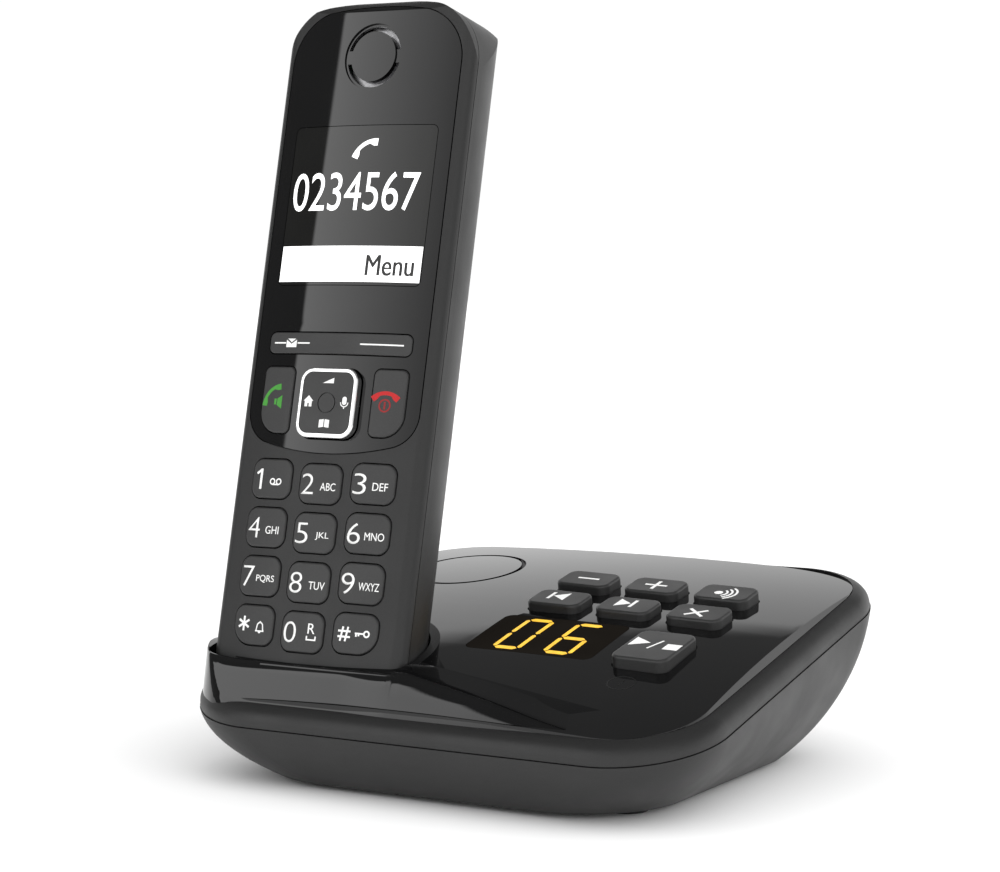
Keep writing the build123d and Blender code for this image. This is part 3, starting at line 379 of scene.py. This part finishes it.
def line(mark, points, width):
    """Adds a line of one width through some points to a flat mark."""
    closed = points[0] == points[-1]
    sides = []
    for index, (x, y) in enumerate(points):
        before = points[index - 1] if index else points[-2 if closed else 0]
        after = points[index + 1] if index + 1 < len(points) else points[1 if closed else -1]
        way = Vector((after[0] - before[0], after[1] - before[1])).normalized() * width / 2
        sides.append((mark.verts.new((x - way.y, y + way.x, 0)), mark.verts.new((x + way.y, y - way.x, 0))))
    for (left, right), (next_left, next_right) in zip(sides, sides[1:]):
        mark.faces.new((left, right, next_right, next_left))


def arc(x, y, radius, start, end, steps=20):
    """Points along an arc between two angles in degrees."""
    angles = [radians(start + (end - start) * step / steps) for step in range(steps + 1)]
    return [(x + radius * cos(angle), y + radius * sin(angle)) for angle in angles]


ink_height = 0.035
ink_root = 0.03
longest_edge = 4.0
long_edge_cuts = 9


def inked(name, mark, surface, material, body):
    """Makes a flat mark a thin closed layer on a surface, and lets it ride on a body."""
    long = [edge for edge in mark.edges if edge.calc_length() > longest_edge]
    bmesh.ops.subdivide_edges(mark, edges=long, cuts=long_edge_cuts, use_grid_fill=True)
    mark.normal_update()
    for face in mark.faces:
        if face.normal.z < 0:
            face.normal_flip()
    bmesh.ops.solidify(mark, geom=mark.faces[:], thickness=1.0)
    low = min(vert.co.z for vert in mark.verts)
    high = max(vert.co.z for vert in mark.verts)
    for vert in mark.verts:
        share = (vert.co.z - low) / (high - low)
        vert.co = surface(vert.co.x, vert.co.y, share * (ink_height + ink_root) - ink_root)
    piece = piece_of(name, mark, material)
    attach(piece, body)


power_x, power_y = 36.4, -31.1
power_radius, power_ring_width = 3.0, 0.3
power_reach, power_stroke_width = 1.2, 0.4
power_sign = bmesh.new()
line(power_sign, arc(power_x, power_y, power_radius, 0, 360, 40), power_ring_width)
line(power_sign, [(power_x, power_y - power_reach), (power_x, power_y + power_reach)], power_stroke_width)
sunk_line = moulded_plastic("sunk_line", shade=0.004, roughness=0.6, grain=0.0004, depth=0.00001)
inked("power_sign", power_sign, crown_point, sunk_line, "base")


# Keys of the base: seven satin black caps on a rubber mat under the cover. White signs are printed on their
# flat tops, which all lie in one plane.
key_black = moulded_plastic("key_black", shade=0.024, roughness=0.42, grain=0.00025, depth=0.00002)
base_keys = (
    "volume_down_key", "volume_up_key", "paging_key", "skip_back_key", "skip_forward_key", "delete_key",
    "play_stop_key",
)
dress(key_black, *base_keys)
ink_blotch = 0.0004


def printing_ink(name, dark, light):
    """Printing ink, a little uneven between two shades."""
    material, tree, main = shader(name, Roughness=0.5)
    between(tree, noise(tree, ink_blotch), dark, light, main, "Base Color")
    return material


white_ink = printing_ink("white_ink", (0.82, 0.82, 0.81), (0.9, 0.9, 0.89))
panel_x = 19.5
panel_origin = crown_point(panel_x, 0, 0)
panel_tilt = (panel_x - crown_crest) / crown_side_radius
panel_normal = Vector((panel_tilt, -sin(crown_slope), cos(crown_slope))).normalized()
panel_right = Vector((1, 0, -panel_normal.x / panel_normal.z)).normalized()
panel_back = panel_normal.cross(panel_right)
base_key_proud = 1.9


def key_panel(a, b, lift):
    """A point over the flat tops of the base's keys, from its place to the right and to the back."""
    along = panel_right * a + panel_back * b + panel_normal * (base_key_proud + lift)
    return panel_origin + along * millimetre


def patch(mark, *points):
    """Adds a filled outline to a flat mark."""
    mark.faces.new([mark.verts.new((x, y, 0)) for x, y in points])


def oblong(mark, left, right, low, high):
    """Adds a filled oblong to a flat mark."""
    patch(mark, (left, low), (right, low), (right, high), (left, high))


sign_stroke = 0.75
wave_stroke = 0.5
slash_stroke = 0.45
paging_x, paging_y = 15.9, 18.5
signs = {name: bmesh.new() for name in base_keys}
line(signs["volume_down_key"], [(-19.8, 19.1), (-14.5, 19.1)], sign_stroke)
line(signs["volume_up_key"], [(-2.7, 19.2), (2.7, 19.2)], sign_stroke)
line(signs["volume_up_key"], [(0, 16.6), (0, 18.8)], sign_stroke)
line(signs["volume_up_key"], [(0, 19.6), (0, 21.8)], sign_stroke)
patch(signs["paging_key"], *arc(paging_x, paging_y, 1.0, 0, 345, 23))
for wave_radius in (2.0, 3.1, 4.2):
    line(signs["paging_key"], arc(paging_x, paging_y, wave_radius, -55, 55), wave_stroke)
line(signs["skip_back_key"], [(-19.7, 3.8), (-19.7, 8.0)], sign_stroke)
patch(signs["skip_back_key"], (-19.1, 5.9), (-15.8, 3.6), (-15.8, 8.3))
line(signs["skip_forward_key"], [(0.9, 3.8), (0.9, 8.2)], sign_stroke)
patch(signs["skip_forward_key"], (0.3, 6.0), (-3.0, 8.3), (-3.0, 3.7))
line(signs["delete_key"], [(14.7, 6.8), (19.1, 2.7)], sign_stroke)
line(signs["delete_key"], [(14.8, 2.9), (16.6, 4.5)], sign_stroke)
line(signs["delete_key"], [(17.2, 5.0), (19.0, 6.6)], sign_stroke)
patch(signs["play_stop_key"], (11.8, -13.2), (11.8, -18.2), (16.0, -15.7))
line(signs["play_stop_key"], [(16.7, -19.0), (18.3, -13.9)], slash_stroke)
oblong(signs["play_stop_key"], left=20.0, right=23.4, low=-18.6, high=-15.4)
for name, mark in signs.items():
    inked(f"{name}_sign", mark, key_panel, white_ink, name)


# Counter of the answering machine: two amber seven-bar figures that glow behind a smoked window flush with
# the cover. The digits are drawn on the window, where they're seen.
smoke_shades = (0.01, 0.0085, 0.007), (0.014, 0.012, 0.01)
smoke_roughness = 0.04, 0.07
window_smoke = polished_plastic("window_smoke", smoke_shades, smoke_roughness, Specular_IOR_Level=0.0)
dress(window_smoke, "led_window")
display_dark = moulded_plastic("display_dark", shade=0.01, roughness=0.25, grain=0.002, depth=0.00001)
dress(display_dark, "led_display", "display_module")
amber_blotch = 0.0015
amber_unlit = (0.3, 0.16, 0.01, 1)
amber_shades = (0.8, 0.42, 0.012), (0.95, 0.62, 0.03)
amber, tree, main = shader("amber_glow", Roughness=0.4, Emission_Strength=1.0, Base_Color=amber_unlit)
between(tree, noise(tree, amber_blotch), *amber_shades, main, "Emission Color")
figure_width = 6.0
figure_height = 16.4
bar_across = 1.5
bar_along = 1.0
bar_gap = 0.28
lit_bars = {"0": "abcdef", "6": "acdefg"}
counter_lefts = {"0": -19.4, "6": -6.9}
counter_foot = -21.4


def figure(mark, bars, left, low):
    """Adds one seven-bar figure to a flat mark, bars named a to g in the usual order."""
    right, high, middle = left + figure_width, low + figure_height, low + figure_height / 2
    for bar, y in (("a", high), ("g", middle), ("d", low)):
        if bar in bars:
            inner, outer = left + bar_gap, right - bar_gap
            half = bar_across / 2
            patch(
                mark, (inner, y), (inner + half, y - half), (outer - half, y - half),
                (outer, y), (outer - half, y + half), (inner + half, y + half),
            )
    for bar, x, foot in (("f", left, middle), ("b", right, middle), ("e", left, low), ("c", right, low)):
        if bar in bars:
            inner, outer = foot + bar_gap, foot + figure_height / 2 - bar_gap
            half = bar_along / 2
            patch(
                mark, (x, inner), (x + half, inner + half), (x + half, outer - half),
                (x, outer), (x - half, outer - half), (x - half, inner + half),
            )


def counter_window(a, b, lift):
    """A point over the counter's window, from its place on the key panel."""
    flat = panel_origin + (panel_right * a + panel_back * b) * millimetre
    return crown_point(flat.x / millimetre, flat.y / millimetre, lift)


counter = bmesh.new()
for shown, left in counter_lefts.items():
    figure(counter, lit_bars[shown], left, counter_foot)
inked("counter_figures", counter, counter_window, amber, "base")


# Shells and battery cover of the handset: the same moulded black plastic as the base, in two halves with a
# seam round the side.
dress(housing_black, "handset_front_shell", "handset_rear_shell", "battery_cover")


# Gloss panel of the handset: piano-black plastic bowed across like the front shell it is clipped into. Some
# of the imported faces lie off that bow, so the front's shine is worked out from the exact bow instead.
handset_lean = radians(13.0)
handset_origin = Vector((-32.04, -39.8, 65.0)) * millimetre
handset_up = Vector((0, sin(handset_lean), cos(handset_lean)))
handset_out = Vector((0, -cos(handset_lean), sin(handset_lean)))
front_radius = 165.0
fascia_black = polished_plastic("fascia_black", piano_shades, piano_roughness)
tree = fascia_black.node_tree


def vector_step(operation, first, second=None):
    """Adds a step of vector reckoning to the panel's material; the second value is a socket or fixed."""
    step = tree.nodes.new("ShaderNodeVectorMath")
    step.operation = operation
    tree.links.new(first, step.inputs[0])
    if isinstance(second, Vector):
        step.inputs[1].default_value = second
    elif second is not None:
        tree.links.new(second, step.inputs[1])
    return step.outputs["Value" if operation == "DOT_PRODUCT" else "Vector"]


bow_axis = handset_origin - handset_out * front_radius * millimetre
place = tree.nodes.new("ShaderNodeTexCoord")
faces = tree.nodes.new("ShaderNodeNewGeometry")
from_axis = vector_step("SUBTRACT", place.outputs["Object"], bow_axis)
along = vector_step("PROJECT", from_axis, handset_up)
bow = vector_step("NORMALIZE", vector_step("SUBTRACT", from_axis, along))
front_only = tree.nodes.new("ShaderNodeMapRange")
front_only.inputs["From Min"].default_value = 0.86
front_only.inputs["From Max"].default_value = 0.9
tree.links.new(vector_step("DOT_PRODUCT", faces.outputs["True Normal"], bow), front_only.inputs["Value"])
shine_way = tree.nodes.new("ShaderNodeMix")
shine_way.data_type = "VECTOR"
link(tree, front_only, "Result", shine_way, "Factor")
link(tree, faces, "Normal", shine_way, "A")
tree.links.new(bow, shine_way.inputs["B"])
link(tree, shine_way, "Result", tree.nodes["Principled BSDF"], "Normal")
dress(fascia_black, "fascia_panel")


# Number keys: twelve satin black caps on a rubber mat, in openings of the bowed front. White figures, small
# letters and signs are printed on them.
number_keys = [name for name in nodes if name.startswith("key_")]
dress(key_black, *number_keys)


def over_front(proud):
    """Gives the surface that follows the handset's crowned front at some height over it."""
    def surface(u, v, lift):
        reach = front_radius + proud + lift
        off = sqrt(reach**2 - u**2) - front_radius
        return handset_origin + (Vector((u, 0, 0)) + handset_up * v + handset_out * off) * millimetre
    return surface


def key_middle(name):
    """Middle of a handset key, across and along the front."""
    low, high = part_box(name)
    middle = ((Vector(low) + Vector(high)) / 2 - handset_origin) / millimetre
    return middle.x, middle.dot(handset_up)


def letters(mark, words, left, right, low, high, weight=0.0):
    """Adds words in a plain letter face to a flat mark, fitted between four edges; weight swells it."""
    face = bpy.data.curves.new("letters", "FONT")
    face.body = words
    face.resolution_u = 6
    face.offset = weight
    text = bpy.data.objects.new("letters", face)
    mesh = bpy.data.meshes.new_from_object(text)
    corners = [vertex.co.copy() for vertex in mesh.vertices]
    near = Vector((min(corner.x for corner in corners), min(corner.y for corner in corners)))
    far = Vector((max(corner.x for corner in corners), max(corner.y for corner in corners)))
    for vertex in mesh.vertices:
        vertex.co.x = left + (vertex.co.x - near.x) / (far.x - near.x) * (right - left)
        vertex.co.y = low + (vertex.co.y - near.y) / (far.y - near.y) * (high - low)
    mark.from_mesh(mesh)
    bpy.data.objects.remove(text)
    bpy.data.curves.remove(face)
    bpy.data.meshes.remove(mesh)


key_proud = 0.45
key_top = over_front(key_proud)
figure_low, figure_high = -2.1, 2.4
figure_left, figure_right = -4.65, -1.5
figure_weight = -0.012
letter_low, letter_high = -1.15, 0.55
letter_spans = {
    "2": ("ABC", 0.2, 4.1), "3": ("DEF", 0.1, 3.8), "4": ("GHI", 0.1, 3.7), "5": ("JKL", 0.5, 3.9),
    "6": ("MNO", -0.4, 4.3), "7": ("PQRS", -0.8, 4.1), "8": ("TUV", 0.3, 4.4), "9": ("WXYZ", -0.4, 4.5),
}
one_stroke, flag_stroke = 0.6, 0.5
reel_places, reel_radius, tape_stroke = (0.4, 2.1), 0.6, 0.3
tray_sides, tray_low, tray_high, tray_stroke = (1.4, 3.6), -1.2, -0.4, 0.32
star_reach, star_stroke = 1.6, 0.5
bell_radius, bell_stroke = 0.75, 0.28
hash_step, hash_stroke = 0.6, 0.42
lock_stroke = 0.36


def one_and_tape(mark, u, v):
    """Adds the figure one, and a tape on two reels, to a flat mark."""
    line(mark, [(u - 2.85, v + figure_low), (u - 2.85, v + figure_high)], one_stroke)
    line(mark, [(u - 2.75, v + figure_high - 0.15), (u - 4.1, v + figure_high - 1.1)], flag_stroke)
    for reel in reel_places:
        line(mark, arc(u + reel, v - 0.35, reel_radius, 0, 360, 24), tape_stroke)
    line(mark, [(u + reel, v - 1.0) for reel in reel_places], tape_stroke)


def letter_and_tray(mark, u, v):
    """Adds the letter of the recall key, over an open tray, to a flat mark."""
    letters(mark, "R", u + 1.5, u + 3.3, v + 0.1, v + 2.3)
    for side in tray_sides:
        line(mark, [(u + side, v + tray_high), (u + side, v + tray_low)], tray_stroke)
    line(mark, [(u + 1.25, v + tray_low), (u + 3.75, v + tray_low)], tray_stroke)


for digit in "1234567890":
    u, v = key_middle(f"key_{digit}")
    mark = bmesh.new()
    if digit == "1":
        one_and_tape(mark, u, v)
    else:
        span = u + figure_left, u + figure_right, v + figure_low, v + figure_high
        letters(mark, digit, *span, figure_weight)
    if digit in letter_spans:
        words, start, end = letter_spans[digit]
        letters(mark, words, u + start, u + end, v + letter_low, v + letter_high)
    if digit == "0":
        letter_and_tray(mark, u, v)
    inked(f"figure_{digit}", mark, key_top, white_ink, f"key_{digit}")
u, v = key_middle("key_star")
star = bmesh.new()
star_u, star_v = u - 2.6, v + 0.5
for turn in (90, 30, -30):
    reach = Vector((cos(radians(turn)), sin(radians(turn)))) * star_reach
    line(star, [(star_u - reach.x, star_v - reach.y), (star_u + reach.x, star_v + reach.y)], star_stroke)
bell_u, bell_foot = u + 1.85, v - 0.95
bell = [(bell_u + 1.1, bell_foot), (bell_u + 0.9, bell_foot + 0.2)]
bell += arc(bell_u, v + 0.15, bell_radius, 0, 180, 12)
bell += [(bell_u - 0.9, bell_foot + 0.2), (bell_u - 1.1, bell_foot)]
line(star, bell, bell_stroke)
line(star, [(bell_u - 1.15, bell_foot), (bell_u + 1.15, bell_foot)], bell_stroke)
patch(star, *arc(bell_u, v - 1.1, 0.35, 180, 360, 10))
patch(star, *arc(bell_u, v + 1.0, 0.22, 0, 345, 12))
inked("star_sign", star, key_top, white_ink, "key_star")
u, v = key_middle("key_hash")
hash_sign = bmesh.new()
for step in (-hash_step, hash_step):
    line(hash_sign, [(u - 2.75 + step, v - 1.45), (u - 2.25 + step, v + 1.65)], hash_stroke)
    line(hash_sign, [(u - 4.0, v + 0.1 + step), (u - 1.0, v + 0.1 + step)], hash_stroke)
line(hash_sign, arc(u + 2.85, v + 0.4, 0.6, 0, 360, 24), lock_stroke)
line(hash_sign, [(u + 0.1, v + 0.4), (u + 2.2, v + 0.4)], lock_stroke)
line(hash_sign, [(u + 0.4, v + 0.3), (u + 0.4, v - 0.3)], lock_stroke)
line(hash_sign, [(u + 1.0, v + 0.3), (u + 1.0, v - 0.15)], lock_stroke)
inked("hash_sign", hash_sign, key_top, white_ink, "key_hash")


# Talk and end keys: satin black caps in the gloss panel. A green receiver with a loudspeaker and a red
# receiver with an on-off ring are printed on them.
dress(key_black, "talk_key", "end_key")
ink_dark_share = 0.85
receiver_steps = 24
receiver_neck = 0.45
receiver_flare = 1.6
weld_distance = 0.001


def coloured_ink(name, colour):
    """Printing ink of one colour, a little uneven."""
    return printing_ink(name, tuple(part * ink_dark_share for part in colour), colour)


def receiver(mark, x, y, radius, start, end, width, pad):
    """Adds an old-style telephone receiver to a flat mark: a bow that swells inwards at both ends."""
    outer, inner = [], []
    for step in range(receiver_steps + 1):
        share = step / receiver_steps
        angle = radians(start + (end - start) * share)
        swell = max(0.0, abs(2 * share - 1) - receiver_neck) / (1 - receiver_neck)
        thick = width + (pad - width) * (1 - (1 - min(1.0, swell * receiver_flare)) ** 2)
        out = Vector((cos(angle), sin(angle)))
        outer.append(tuple(Vector((x, y)) + out * (radius + width / 2)))
        inner.append(tuple(Vector((x, y)) + out * (radius + width / 2 - thick)))
    for step in range(receiver_steps):
        patch(mark, outer[step], outer[step + 1], inner[step + 1], inner[step])
    bmesh.ops.remove_doubles(mark, verts=mark.verts, dist=weld_distance)


green_ink = coloured_ink("green_ink", (0.05, 0.3, 0.03))
talk_sign = bmesh.new()
receiver(talk_sign, x=-13.0, y=15.8, radius=4.9, start=176, end=96, width=0.75, pad=1.3)
oblong(talk_sign, left=-15.0, right=-14.4, low=16.4, high=17.7)
patch(talk_sign, (-14.2, 16.3), (-12.9, 15.5), (-12.9, 18.5), (-14.2, 17.7))
inked("talk_sign", talk_sign, key_top, green_ink, "talk_key")
red_ink = coloured_ink("red_ink", (0.5, 0.004, 0.006))
end_u = 13.75
end_sign = bmesh.new()
receiver(end_sign, x=end_u, y=14.6, radius=5.1, start=50, end=130, width=0.85, pad=1.35)
inked("end_sign", end_sign, key_top, red_ink, "end_key")
dark_red_ink = coloured_ink("dark_red_ink", (0.27, 0.004, 0.006))
off_v, off_radius, off_ring_width = 17.0, 1.3, 0.35
off_reach, off_stroke_width = 0.8, 0.4
off_sign = bmesh.new()
line(off_sign, arc(end_u, off_v, off_radius, 0, 360, 30), off_ring_width)
line(off_sign, [(end_u, off_v - off_reach), (end_u, off_v + off_reach)], off_stroke_width)
inked("off_sign", off_sign, key_top, dark_red_ink, "end_key")


# Soft-key bar under the display: one satin black rocker, marked by two fine white lines, the left one with
# an envelope.
dress(key_black, "soft_key_bar")
soft_key_proud = 0.2
soft_stroke = 0.32
soft_v = key_middle("soft_key_bar")[1] + 0.15
soft_sign = bmesh.new()
for start, end in ((-17.1, -13.9), (-10.7, -7.4), (5.8, 16.5)):
    line(soft_sign, [(start, soft_v), (end, soft_v)], soft_stroke)
patch(
    soft_sign, (-13.75, soft_v - 0.95), (-10.95, soft_v - 0.95), (-10.95, soft_v + 0.7),
    (-12.35, soft_v - 0.2), (-13.75, soft_v + 0.7),
)
patch(soft_sign, (-13.45, soft_v + 0.95), (-12.35, soft_v + 0.15), (-11.25, soft_v + 0.95))
inked("soft_key_sign", soft_sign, over_front(soft_key_proud), white_ink, "soft_keys")


# Navigation key: a satin pad in a bright chromed frame. A volume wedge, a house, a microphone and a book
# are printed at its four sides.
dress(key_black, "navigation_pad")
chrome = brushed_metal("chrome", colour=(0.95, 0.95, 0.95), roughness=0.1, streak=0.002)
dress(chrome, "navigation_ring")
nav_v = key_middle("navigation_pad")[1]
navigation_pad = nodes["navigation_pad"]
pad_corners = [navigation_pad.matrix_world @ vertex.co for vertex in navigation_pad.data.vertices]
pad_proud = max((corner - handset_origin).dot(handset_out) for corner in pad_corners) / millimetre


def pad_top(u, v, lift):
    """A point over the flat top of the navigation pad."""
    off = pad_proud + lift
    return handset_origin + (Vector((u, 0, 0)) + handset_up * v + handset_out * off) * millimetre


nav_sign = bmesh.new()
patch(nav_sign, (-1.5, nav_v + 4.3), (1.3, nav_v + 4.3), (1.3, nav_v + 5.5))
house_u, eaves_v = -4.7, nav_v + 0.3
patch(nav_sign, (house_u - 1.25, eaves_v), (house_u + 1.25, eaves_v), (house_u, nav_v + 1.5))
for middle_u, half, foot_v in (
    # two walls, and the lintel of the door between them
    (house_u - 0.55, 0.35, nav_v - 0.95), (house_u + 0.55, 0.35, nav_v - 0.95), (house_u, 0.2, nav_v - 0.2),
):
    oblong(nav_sign, middle_u - half, middle_u + half, foot_v, eaves_v)
mic_u, mic_v, mic_radius = 4.6, nav_v + 0.2, 0.55
mic_head = arc(mic_u, mic_v + 0.7, mic_radius, 0, 180, 12) + arc(mic_u, mic_v, mic_radius, 180, 360, 12)
patch(nav_sign, *mic_head)
mic_yoke_radius, mic_yoke_stroke, mic_stand_stroke = 0.95, 0.22, 0.25
line(nav_sign, arc(mic_u, mic_v, mic_yoke_radius, 180, 360, 16), mic_yoke_stroke)
line(nav_sign, [(mic_u, mic_v - 0.95), (mic_u, mic_v - 1.4)], mic_stand_stroke)
book_v = nav_v - 4.5
for side in (-1, 1):
    patch(
        nav_sign, (side * 0.12, book_v - 0.8), (side * 1.3, book_v - 0.95),
        (side * 1.3, book_v + 0.75), (side * 0.12, book_v + 0.9),
    )
inked("navigation_sign", nav_sign, pad_top, white_ink, "navigation_key")


# Display of the handset: a clear window set flush in the gloss panel. Behind it the screen shows a receiver,
# a row of figures and a bright bar with the name of the right soft key.
window_shades = (0.004, 0.004, 0.0036), (0.006, 0.006, 0.0054)
window_black = polished_plastic("window_black", window_shades, piano_roughness)
dress(window_black, "display_window")
screen_white, tree, main = shader("screen_white", Roughness=0.4, Emission_Strength=1.0)
screen_blotch = 0.004
between(tree, noise(tree, ink_blotch), (0.8, 0.8, 0.8), (0.9, 0.9, 0.9), main, "Base Color")
between(tree, noise(tree, screen_blotch), (0.75, 0.75, 0.75), (0.85, 0.85, 0.85), main, "Emission Color")
screen = bmesh.new()
receiver(screen, x=3.6, y=69.6, radius=6.0, start=158, end=86, width=0.9, pad=1.6)
letters(screen, "0234567", left=-17.2, right=15.6, low=59.9, high=68.5)
oblong(screen, left=-18.2, right=18.2, low=44.0, high=52.0)
inked("screen_figures", screen, over_front(0), screen_white, "handset")
word_left, word_right = 4.6, 16.4
word_swell = 0.18
word_proud = 0.02
soft_word = bmesh.new()
for shift in (0.0, word_swell):
    letters(soft_word, "Menu", word_left + shift, word_right + shift, low=45.4, high=50.0)
screen_dark = moulded_plastic("screen_dark", shade=0.015, roughness=0.4, grain=0.0004, depth=0.00001)
inked("soft_key_word", soft_word, over_front(word_proud), screen_dark, "handset")


# Floor: a plain white studio sheet under and all round the phone. It is dull, so that it mirrors nothing.
# The phone stands on it on its rubber feet.
floor_size = 8
bpy.ops.mesh.primitive_plane_add(size=floor_size)
floor = bpy.context.object
floor.name = "floor"
floor_blotch = 0.3
floor_white, tree, main = shader("floor_white", Roughness=0.9, Specular_IOR_Level=0.0)
between(tree, noise(tree, floor_blotch), (0.9, 0.9, 0.9), (0.93, 0.93, 0.93), main, "Base Color")
floor.data.materials.append(floor_white)


# Light: a white studio, brighter on the right. What the gloss mirrors is darker than what lights the phone:
# a long soft panel in front and to the left, and a pale backdrop low round the back.
world = bpy.data.worlds.new("studio")
bpy.context.scene.world = world
world.use_nodes = True
studio = world.node_tree
studio.nodes.clear()


def new(kind, **settings):
    """A node of the studio's light."""
    node = studio.nodes.new(kind)
    for setting, value in settings.items():
        setattr(node, setting, value)
    return node


def joined(operation, first, second):
    """Joins two values by a sum, each a socket or a number."""
    node = new("ShaderNodeMath", operation=operation)
    for place, value in enumerate((first, second)):
        if isinstance(value, (int, float)):
            node.inputs[place].default_value = value
        else:
            studio.links.new(value, node.inputs[place])
    return node.outputs[0]


def fade(value, start, end, low, high, smooth=True):
    """Value that goes from low to high between two places."""
    node = new("ShaderNodeMapRange", interpolation_type="SMOOTHSTEP" if smooth else "LINEAR")
    for name, number in (("From Min", start), ("From Max", end), ("To Min", low), ("To Max", high)):
        node.inputs[name].default_value = number
    studio.links.new(value, node.inputs["Value"])
    return node.outputs["Result"]


place = new("ShaderNodeTexCoord")
split = new("ShaderNodeSeparateXYZ")
studio.links.new(place.outputs["Generated"], split.inputs[0])
x, y, z = split.outputs
left_of_front = joined("ARCTAN2", joined("MULTIPLY", x, -1), joined("MULTIPLY", y, -1))
wall = fade(z, start=0.2, end=0.5, low=1.5, high=1.05)
wall_top = fade(z, start=0.49, end=0.535, low=1, high=0)
to_back = fade(y, start=0.0, end=0.3, low=0, high=1)
to_right = fade(x, start=-0.55, end=0.1, low=1, high=0.85)
backdrop = joined("MULTIPLY", joined("MULTIPLY", wall, wall_top), joined("MULTIPLY", to_back, to_right))
panel_edge = fade(left_of_front, start=radians(43.9), end=radians(44.7), low=1, high=0)
panel_shine = fade(left_of_front, start=radians(18), end=radians(44), low=0.9, high=3.2, smooth=False)
panel_top = fade(z, start=0.62, end=0.68, low=1, high=0)
panel_front = fade(y, start=-0.3, end=-0.2, low=1, high=0)
panel_across = joined("MULTIPLY", panel_edge, panel_shine)
panel = joined("MULTIPLY", panel_across, joined("MULTIPLY", panel_top, panel_front))
dim_room = fade(y, start=-0.3, end=0.3, low=0.3, high=0.2)
gloss_light = joined("ADD", joined("ADD", backdrop, panel), dim_room)
soft_light = fade(x, start=-0.2, end=0.9, low=1.02, high=2.2)
soft = new("ShaderNodeBackground")
soft.inputs["Color"].default_value = (1, 1, 1, 1)
studio.links.new(soft_light, soft.inputs["Strength"])
shine = new("ShaderNodeBackground")
studio.links.new(gloss_light, shine.inputs["Strength"])
rays = new("ShaderNodeLightPath")
mix = new("ShaderNodeMixShader")
out = new("ShaderNodeOutputWorld")
studio.links.new(rays.outputs["Is Glossy Ray"], mix.inputs[0])
studio.links.new(soft.outputs[0], mix.inputs[1])
studio.links.new(shine.outputs[0], mix.inputs[2])
studio.links.new(mix.outputs[0], out.inputs[0])
bpy.context.scene.view_settings.view_transform = "Standard"


# Camera: a long lens a little above the table, thirty degrees to the right of the front and tipped down by
# about four.
camera_dip = 4.26
camera_turn = 30
camera_data = bpy.data.cameras.new("camera")
camera_data.lens = 92.81
camera_data.sensor_width = 36.0
camera = bpy.data.objects.new("camera", camera_data)
camera.location = (0.27841, -0.50035, 0.11605)
camera.rotation_euler = (radians(90 - camera_dip), 0, radians(camera_turn))
bpy.context.scene.collection.objects.link(camera)
bpy.context.scene.camera = camera
